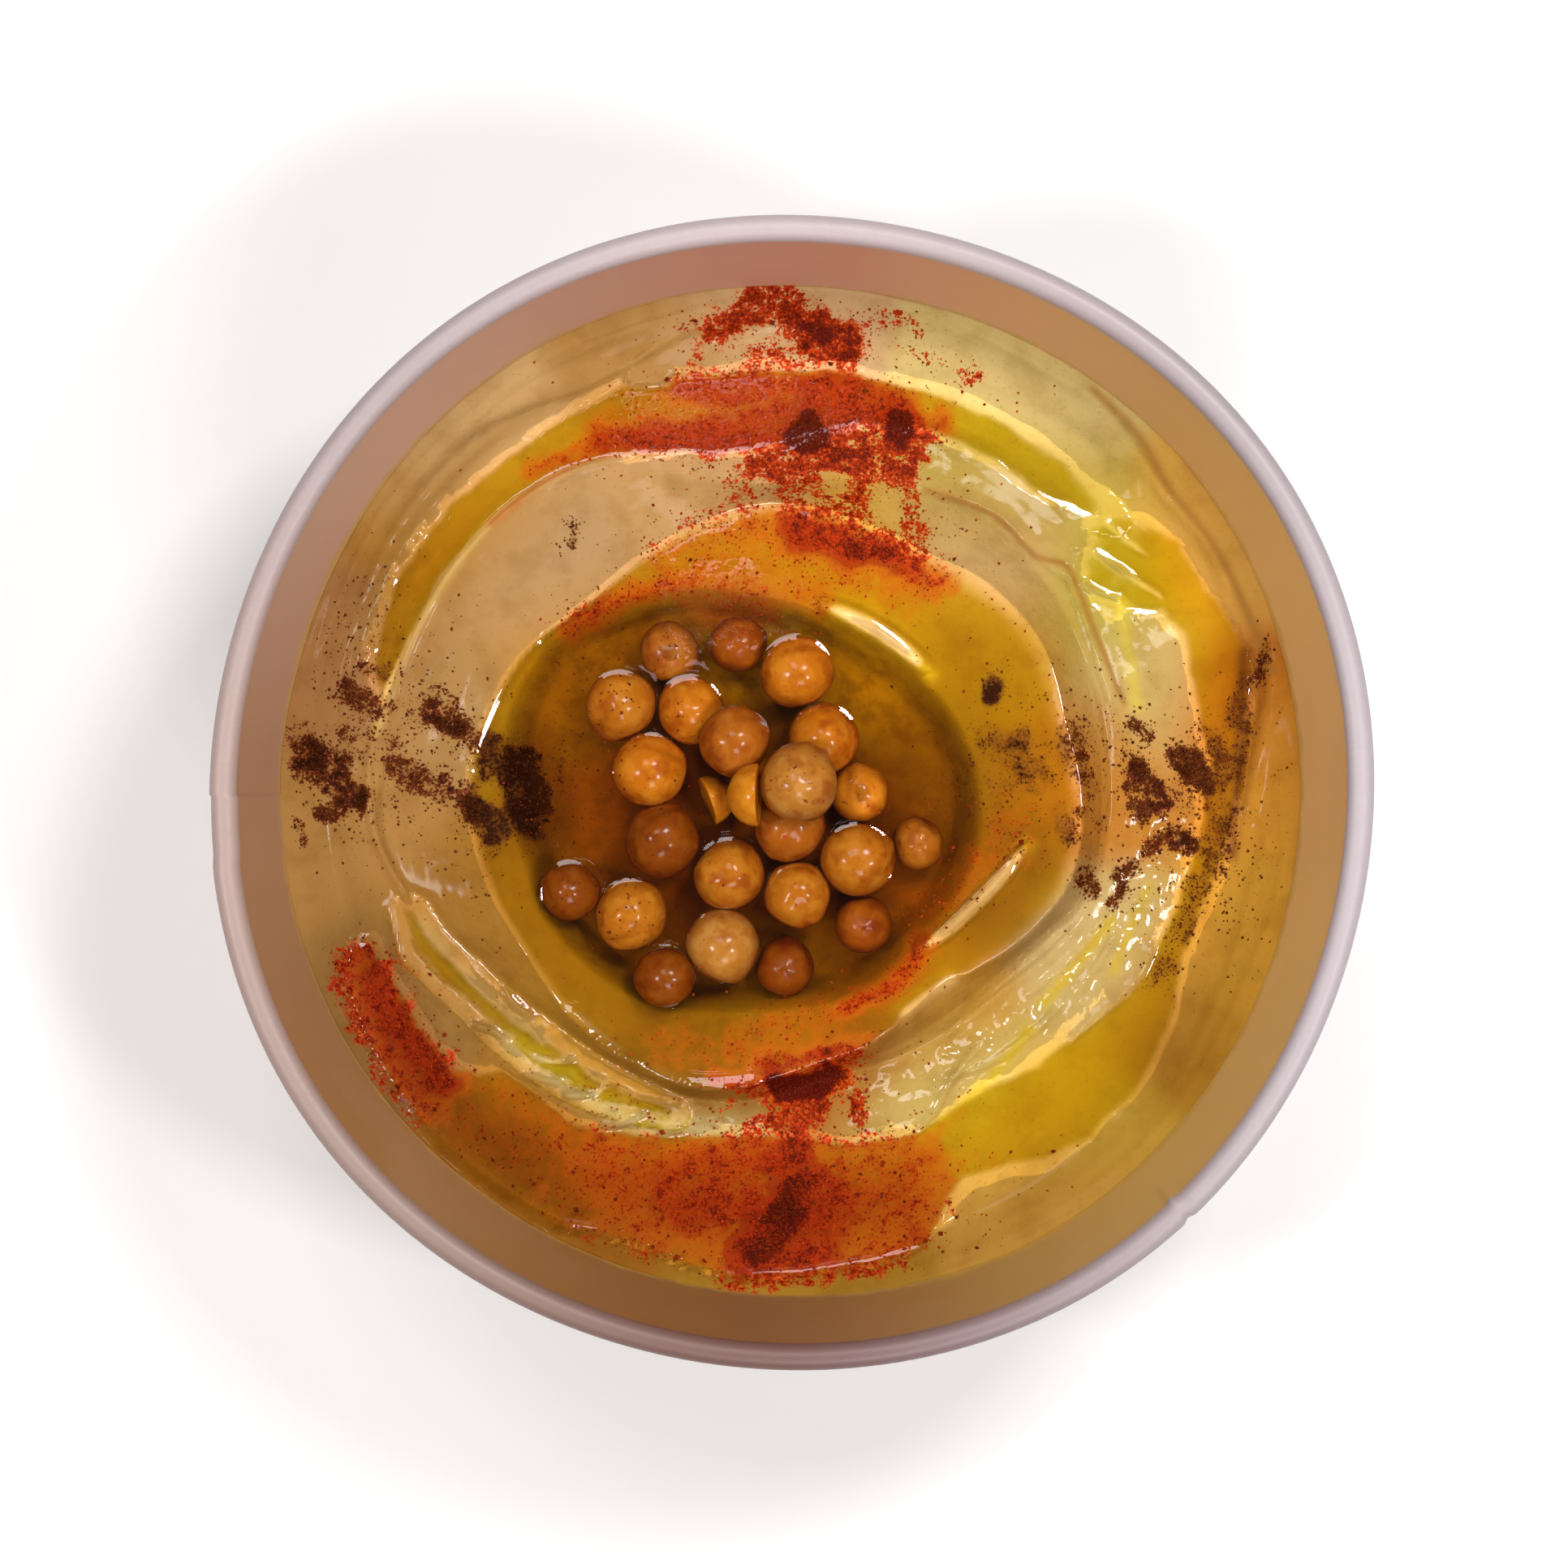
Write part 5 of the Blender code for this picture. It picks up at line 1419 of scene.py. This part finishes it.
# %% Finish of the skins
chickpea_finish, tree, shader = new_finish("chickpea_skin_wet")
mottle = noise(tree, 2.2, 3.0)
spots = noise(tree, 0.9, 2.0)
skin = painted_colour(tree, "skin")
paler = tinted(tree, skin, (1.28, 1.65, 3.0))
light = blend(tree, times(tree, rise(tree, mottle, 0.42, 0.68), 0.6), skin, paler)
browned = times(tree, rise(tree, spots, 0.62, 0.74), painted(tree, "browned"))
blush = rise(tree, noise(tree, 3.4, 2.0), 0.50, 0.72)
deeper = tinted(tree, light, (0.72, 0.52, 0.50))
light = blend(tree, blush, light, deeper)
shade = blend(tree, browned, light, (0.15, 0.030, 0.006))
set_inputs(tree, shader, Base_Color=shade, Roughness=0.30, Specular_IOR_Level=0.05)
# a little light passes through the flesh
set_inputs(tree, shader, Subsurface_Weight=0.12, Subsurface_Scale=1.2 * MM)
set_inputs(tree, shader, Subsurface_Radius=(1.0, 0.45, 0.15), Coat_Weight=0.28, Coat_Roughness=0.13)
add_bump(tree, shader, spots, 0.18, 0.12)
print("skin finish ready")

# %% Whole chickpeas, and the oil that clings to them
# oil climbs a wet skin by this much, and falls away over this distance
CLING_RISE, CLING_REACH = 0.26, 0.55
# those that reach the surface lie a little higher, as if on others below
LIFT = 1.5
ball, ball_faces = unit_ball(BALL_DETAIL)
chickpea_tops = np.full(map_x.shape, -100.0)
oil_cling = np.zeros(map_x.shape)
dry = np.zeros(map_x.shape)
for number, name in enumerate(chickpea_nodes):
    solid, middle = solid_of(name)
    beak = solid[np.argmax(np.linalg.norm(solid - middle, axis=1))] - middle
    points = chickpea_points(ball, number) @ facing(beak, number).T
    low, high = points.min(axis=0), points.max(axis=0)
    size = PLUMP * (solid.max(axis=0) - solid.min(axis=0))
    if solid[:, 2].max() > CENTRE_OIL and middle[2] < CENTRE_OIL:
        middle = middle + (0.0, 0.0, LIFT)
    points = (points - (low + high) / 2) / (high - low) * size + middle
    pea = place_mesh(name + "_skin", points, ball_faces, chickpea_finish)
    # painted shade, darker the further a point lies below the pea's top
    low = ramp((points[:, 2].max() - points[:, 2]) / size[2], 0.10, 0.50)[:, None]
    skin_colour = np.array(SKINS.get(name, SKIN)) * (1.0 - low + low * np.array(SIDE_PAINTED_SHADE))
    paint_colour(pea, "skin", skin_colour)
    paint(pea, "browned", np.full(len(points), 0.35 + 0.65 * (number % 3 == 0)))
    in_place(pea, "chickpea_skin", name)
    radius = size.mean() / 2
    away = np.hypot(map_x - middle[0], map_y - middle[1])
    dome = middle[2] + np.sqrt(np.maximum(radius**2 - away**2, 0.0))
    chickpea_tops = np.maximum(chickpea_tops, np.where(away < radius, dome, -100.0))
    climb = min(CLING_RISE, 0.5 * (middle[2] + radius - CENTRE_OIL))
    contact = radius**2 - (CENTRE_OIL + climb - middle[2]) ** 2
    if climb > 0 and contact > 0 and middle[2] < CENTRE_OIL + climb:
        beyond = np.maximum(away - math.sqrt(contact), 0.0)
        oil_cling += climb * np.exp(-beyond / CLING_REACH)
        dry = np.where(away < math.sqrt(contact), 1.0, dry)

# %% Halves
# the split face swells by this share of the radius
SPLIT_SWELL = 0.10
halved = ball.copy()
front = halved[:, 0] > 0
depth = halved[front, 0]
halved[front, 0] = SPLIT_SWELL * np.sqrt(np.clip(depth, 0, 1)) * (1 - depth**2)
for name in HALF_NODES:
    solid, middle = solid_of(name)
    shape = bmesh.new()
    shape.from_mesh(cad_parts[name].data)
    bmesh.ops.remove_doubles(shape, verts=shape.verts, dist=1e-6)
    split_face = max(shape.faces, key=lambda face: face.calc_area()).normal.copy()
    shape.free()
    points = halved @ np.array(split_face.to_track_quat("X", "Z").to_matrix()).T
    low, high = points.min(axis=0), points.max(axis=0)
    size = solid.max(axis=0) - solid.min(axis=0)
    points = (points - (low + high) / 2) / (high - low) * size + middle
    half = place_mesh(name + "_skin", points, ball_faces, chickpea_finish)
    paint_colour(half, "skin", np.tile(SKINS[name], (len(points), 1)))
    paint(half, "browned", np.full(len(points), 0.2))
    in_place(half, "chickpea_skin", name)

# %% [markdown]
# ## Olive oil
#
# Oil finds its own level, then creeps a little way up whatever it touches. That
# curved edge is what catches the lamps as thin bright lines. Each pool is a closed
# body: a top at the oil's level with a curved edge, and an underside just inside the
# hummus, so no gap shows. A tinted surface would look the same at any depth. Here the
# body itself takes up light, so what crosses more oil comes out a deeper yellow.

# %% Finish of the oil
OIL_ABSORBED_PER_METRE = 280.0
OIL_PASSED = (0.900, 0.820, 0.0)

oil_finish, tree, shader = new_finish("olive_oil_clear")
set_inputs(tree, shader, Base_Color=(1.0, 1.0, 1.0, 1.0), IOR=1.47, Transmission_Weight=1.0)
# a lamp's light goes straight through, as a clear body would otherwise cast a dark shadow
clear = tree.nodes.new("ShaderNodeBsdfTransparent")
lets_lamps_through = tree.nodes.new("ShaderNodeMixShader")
light_path = tree.nodes.new("ShaderNodeLightPath")
tree.links.new(light_path.outputs["Is Shadow Ray"], lets_lamps_through.inputs[0])
tree.links.new(shader.outputs["BSDF"], lets_lamps_through.inputs[1])
tree.links.new(clear.outputs["BSDF"], lets_lamps_through.inputs[2])
output = tree.nodes["Material Output"]
tree.links.new(lets_lamps_through.outputs["Shader"], output.inputs["Surface"])
absorbed = add_node(
    tree, "ShaderNodeVolumeAbsorption", Color=(*OIL_PASSED, 1.0), Density=OIL_ABSORBED_PER_METRE
)
tree.links.new(absorbed.outputs["Volume"], output.inputs["Volume"])
ripple = noise(tree, 6.0, 2.0)
ripple = plus(tree, ripple, times(tree, noise(tree, 1.4, 1.0), 0.10))
# floating powder breaks the mirror of the surface into many small ones
dusty = painted(tree, "dusty")
ripple = plus(tree, ripple, times(tree, noise(tree, 0.7, 2.0), times(tree, dusty, 1.4)))
add_bump(tree, shader, ripple, 0.14, 0.3)
set_inputs(tree, shader, Roughness=plus(tree, 0.015, times(tree, dusty, 0.08)))
print("oil finish ready")

# %% Level of the oil
# how softly and how far the edge creeps up, how deep the body reaches into the paste,
# how far it reaches past its shore, and how much its surface swells
CREEP, CREEP_TRIM = 0.26, 0.12
OIL_BELOW = 0.55
SHORE_REACH = 2.4
SWELL = 0.03


def oil_top(level, bed):
    """The oil's surface over a bed: flat where deep, and creeping up at the edge."""
    deep = level + CREEP_TRIM - bed
    return bed + 0.5 * (deep + np.sqrt(deep**2 + CREEP**2)) - CREEP_TRIM


print("creep at a shore:", round(float(oil_top(0.0, 0.0)), 2), "mm")

# %% A closed body between two surfaces


def closed_slab(keep, top, bottom):
    """A closed body over the kept cells of the map, between two surfaces."""
    used = np.zeros(map_x.shape, bool)
    for i, j in ((0, 0), (1, 0), (1, 1), (0, 1)):
        used[i : i + keep.shape[0], j : j + keep.shape[1]] |= keep
    number = np.full(map_x.shape, -1)
    number[used] = np.arange(used.sum())
    count = int(used.sum())
    points = np.concatenate([
        np.stack([map_x[used], map_y[used], top[used]], axis=1),
        np.stack([map_x[used], map_y[used], bottom[used]], axis=1),
    ])
    i, j = np.nonzero(keep)
    corner = [number[i, j], number[i + 1, j], number[i + 1, j + 1], number[i, j + 1]]
    quads = np.stack(corner, axis=1)
    faces = quads.tolist() + (quads[:, ::-1] + count).tolist()
    padded = np.pad(keep, 1)
    sides = (((-1, 0), 0, 3), ((1, 0), 2, 1), ((0, -1), 1, 0), ((0, 1), 3, 2))
    for (di, dj), a, b in sides:
        open_side = ~padded[i + 1 + di, j + 1 + dj]
        first, second = corner[b][open_side], corner[a][open_side]
        faces += np.stack([first, second, second + count, first + count], axis=1)[:, ::-1].tolist()
    return points, faces


print("body of oil ready")

# %% The four pools
CLEAR_OF_PAPER, BELOW_SKIN = 0.9, 0.12
# where powder floats on the oil
floating = near_path(map_x, map_y, ((80, 51.5), (96, 51.6), (112, 53.4)), 4.0)
by_chickpeas = near_path(map_x, map_y, ((92, 26.0), (108, 27.0), (120, 29.0)), 3.5)
floating = np.maximum(floating, by_chickpeas)
top_surface = spread_map.copy()
map_degrees = np.degrees(np.arctan2(map_y, map_x)) % 360.0
beyond_centre = np.hypot(map_x, map_y) - ring(CENTRE_SHORE, map_degrees)
# oil and grains stop short of the paper
paper_at = (wall_line(spread_map) - PAPER / 2 - CLEAR_OF_PAPER) * out_of_round(map_degrees)
inside_wall = np.hypot(map_x, map_y) < paper_at
pools = [("oil_centre", beyond_centre, CENTRE_OIL)]
for name, shore, level, depth, softness, slope in POOLS:
    pools.append((name, from_shore(map_x, map_y, flat_points(shore)), level))
for number, (name, away, level) in enumerate(pools):
    top = oil_top(level + SWELL * rough(map_x, map_y, 8.0, 200 + number), spread_map)
    for path, most, reach in SHORE_CLINGS:
        climb = most * near_path(map_x, map_y, path, 1.8)
        top += climb * np.exp(np.minimum(away, 0.0) / reach) * (spread_map < top)
    if name == "oil_centre":
        top += np.minimum(oil_cling, 1.2 * CLING_RISE) * ramp(CENTRE_OIL - spread_map, 0.0, 1.0)
        top = np.where(dry > 0, np.minimum(top, chickpea_tops - BELOW_SKIN), top)
    keep = (away < SHORE_REACH)[:-1, :-1] & inside_wall[:-1, :-1] & inside_wall[1:, 1:]
    points, faces = closed_slab(keep, top, spread_map - OIL_BELOW)
    pool = place_mesh(name + "_pool", points, faces, oil_finish)
    paint(pool, "dusty", np.minimum(read_map(floating, points[:, 0], points[:, 1]), 1.0))
    in_place(pool, "olive_oil", name)
    top_surface = np.where(away < SHORE_REACH, np.maximum(top_surface, top), top_surface)
top_surface = np.maximum(top_surface, chickpea_tops)
print("pools:", len(pools))

# %% [markdown]
# ## Single grains of spice
#
# Ground paprika and cumin are small hard flakes. Each grain here is a flat eight-sided
# crystal of its true size, mostly a sixth to a half millimetre. They fall where the
# clouds above are dense, and rest on the paste, the oil or a chickpea, whichever is on
# top. All grains of one spice are one mesh, which loads faster than thousands of small
# ones.

# %% Grains
# small grains are the most common, each is flatter than wide, and sinks in a little
SIZE_LEAN, FLATTENED, STANDS_OUT = 0.45, (1.0, 0.8, 0.55), 0.25
OCTAHEDRON = np.array([(1, 0, 0), (-1, 0, 0), (0, 1, 0), (0, -1, 0), (0, 0, 1), (0, 0, -1)], float)
OCTAHEDRON_FACES = (
    (0, 2, 4), (2, 1, 4), (1, 3, 4), (3, 0, 4), (2, 0, 5), (1, 2, 5), (3, 1, 5), (0, 3, 5),
)


def grain_finish(name):
    material, tree, shader = new_finish(name)
    flecks = noise(tree, 0.25, 2.0)
    shade = painted_colour(tree, "grain")
    lighter = blend(tree, times(tree, rise(tree, flecks, 0.4, 0.8), 0.25), shade, (0.40, 0.11, 0.012))
    set_inputs(tree, shader, Base_Color=lighter, Roughness=0.6, Specular_IOR_Level=0.03)
    return material


def scattered(name, density, thick, count, sizes, dark, light, seed):
    """Grains of one spice as one mesh: many where it is dense, darker where it lies thick."""
    draw = np.random.default_rng(seed)
    weight = (density * inside_wall).ravel()
    chosen = draw.choice(len(weight), count, p=weight / weight.sum())
    x = map_x.ravel()[chosen] + draw.uniform(-0.5, 0.5, count) * MAP_STEP
    y = map_y.ravel()[chosen] + draw.uniform(-0.5, 0.5, count) * MAP_STEP
    size = sizes[0] + (sizes[1] - sizes[0]) * draw.power(SIZE_LEAN, count)
    z = read_map(top_surface, x, y) + STANDS_OUT * size
    turn = draw.uniform(0, math.tau, count)
    stretch = draw.uniform(0.6, 1.3, (count, 3)) * FLATTENED
    corner = OCTAHEDRON[None] * stretch[:, None] * size[:, None, None] / 2
    cos, sin = np.cos(turn)[:, None], np.sin(turn)[:, None]
    px = corner[..., 0] * cos - corner[..., 1] * sin + x[:, None]
    py = corner[..., 0] * sin + corner[..., 1] * cos + y[:, None]
    pz = corner[..., 2] + z[:, None]
    points = np.stack([px, py, pz], axis=-1).reshape(-1, 3)
    faces = (np.array(OCTAHEDRON_FACES)[None] + 6 * np.arange(count)[:, None, None]).reshape(-1, 3)
    grains = place_mesh(name, points, faces.tolist(), grain_finish(name + "_grain"), smooth_faces=False)
    share = draw.uniform(0, 1, count)[:, None] ** 1.2
    # in the thick of a pinch the grains shade each other
    deep = read_map(thick, x, y)[:, None]
    share *= 1.0 - 0.9 * deep
    colours = (np.array(dark) * (1 - share) + np.array(light) * share) * (1.0 - 0.45 * deep)
    paint_colour(grains, "grain", np.repeat(colours, 6, axis=0))
    in_place(grains, "hummus")


print("one grain has", len(OCTAHEDRON_FACES), "faces")

# %% Paprika
# each call gives the smallest and largest size, the darkest and lightest colour, a seed
PAPRIKA_GRAINS, CUMIN_GRAINS, FLAKES = 20500, 14000, 520
thick_paprika, thick_cumin = ramp(paprika_map, 1.0, 1.7), ramp(cumin_map, 0.75, 1.25)
thin_paprika = 0.08 * stain_map * small_clumps + 0.4 * cloud_map(PAPRIKA_DUST) * small_clumps
scattered(
    "paprika_grains", paprika_map**1.3 + thin_paprika, thick_paprika, PAPRIKA_GRAINS,
    (0.14, 0.50), (0.17, 0.009, 0.003), (0.46, 0.045, 0.004), 5,
)

# %% Cumin
# cumin sinks, so few grains float on the middle pool
in_well = ramp(-beyond_centre, 0.0, 3.0)
patches = np.minimum(cumin_map, 1.2) ** 2 * clumps * (1.0 - 0.94 * in_well)
thin_cumin = (0.03 * cloud_map(CUMIN, 2.0) + 0.4 * cloud_map(CUMIN_DUST)) * small_clumps
scattered(
    "cumin_grains", patches + thin_cumin, thick_cumin, CUMIN_GRAINS,
    (0.14, 0.55), (0.040, 0.008, 0.003), (0.17, 0.040, 0.008), 6,
)

# %% Larger flakes of paprika
flake_density = cloud_map(PAPRIKA, 1.5) * small_clumps * (0.25 + murk_map)
scattered(
    "paprika_flakes", flake_density, thick_paprika, FLAKES,
    (0.40, 0.95), (0.095, 0.008, 0.002), (0.26, 0.022, 0.003), 7,
)
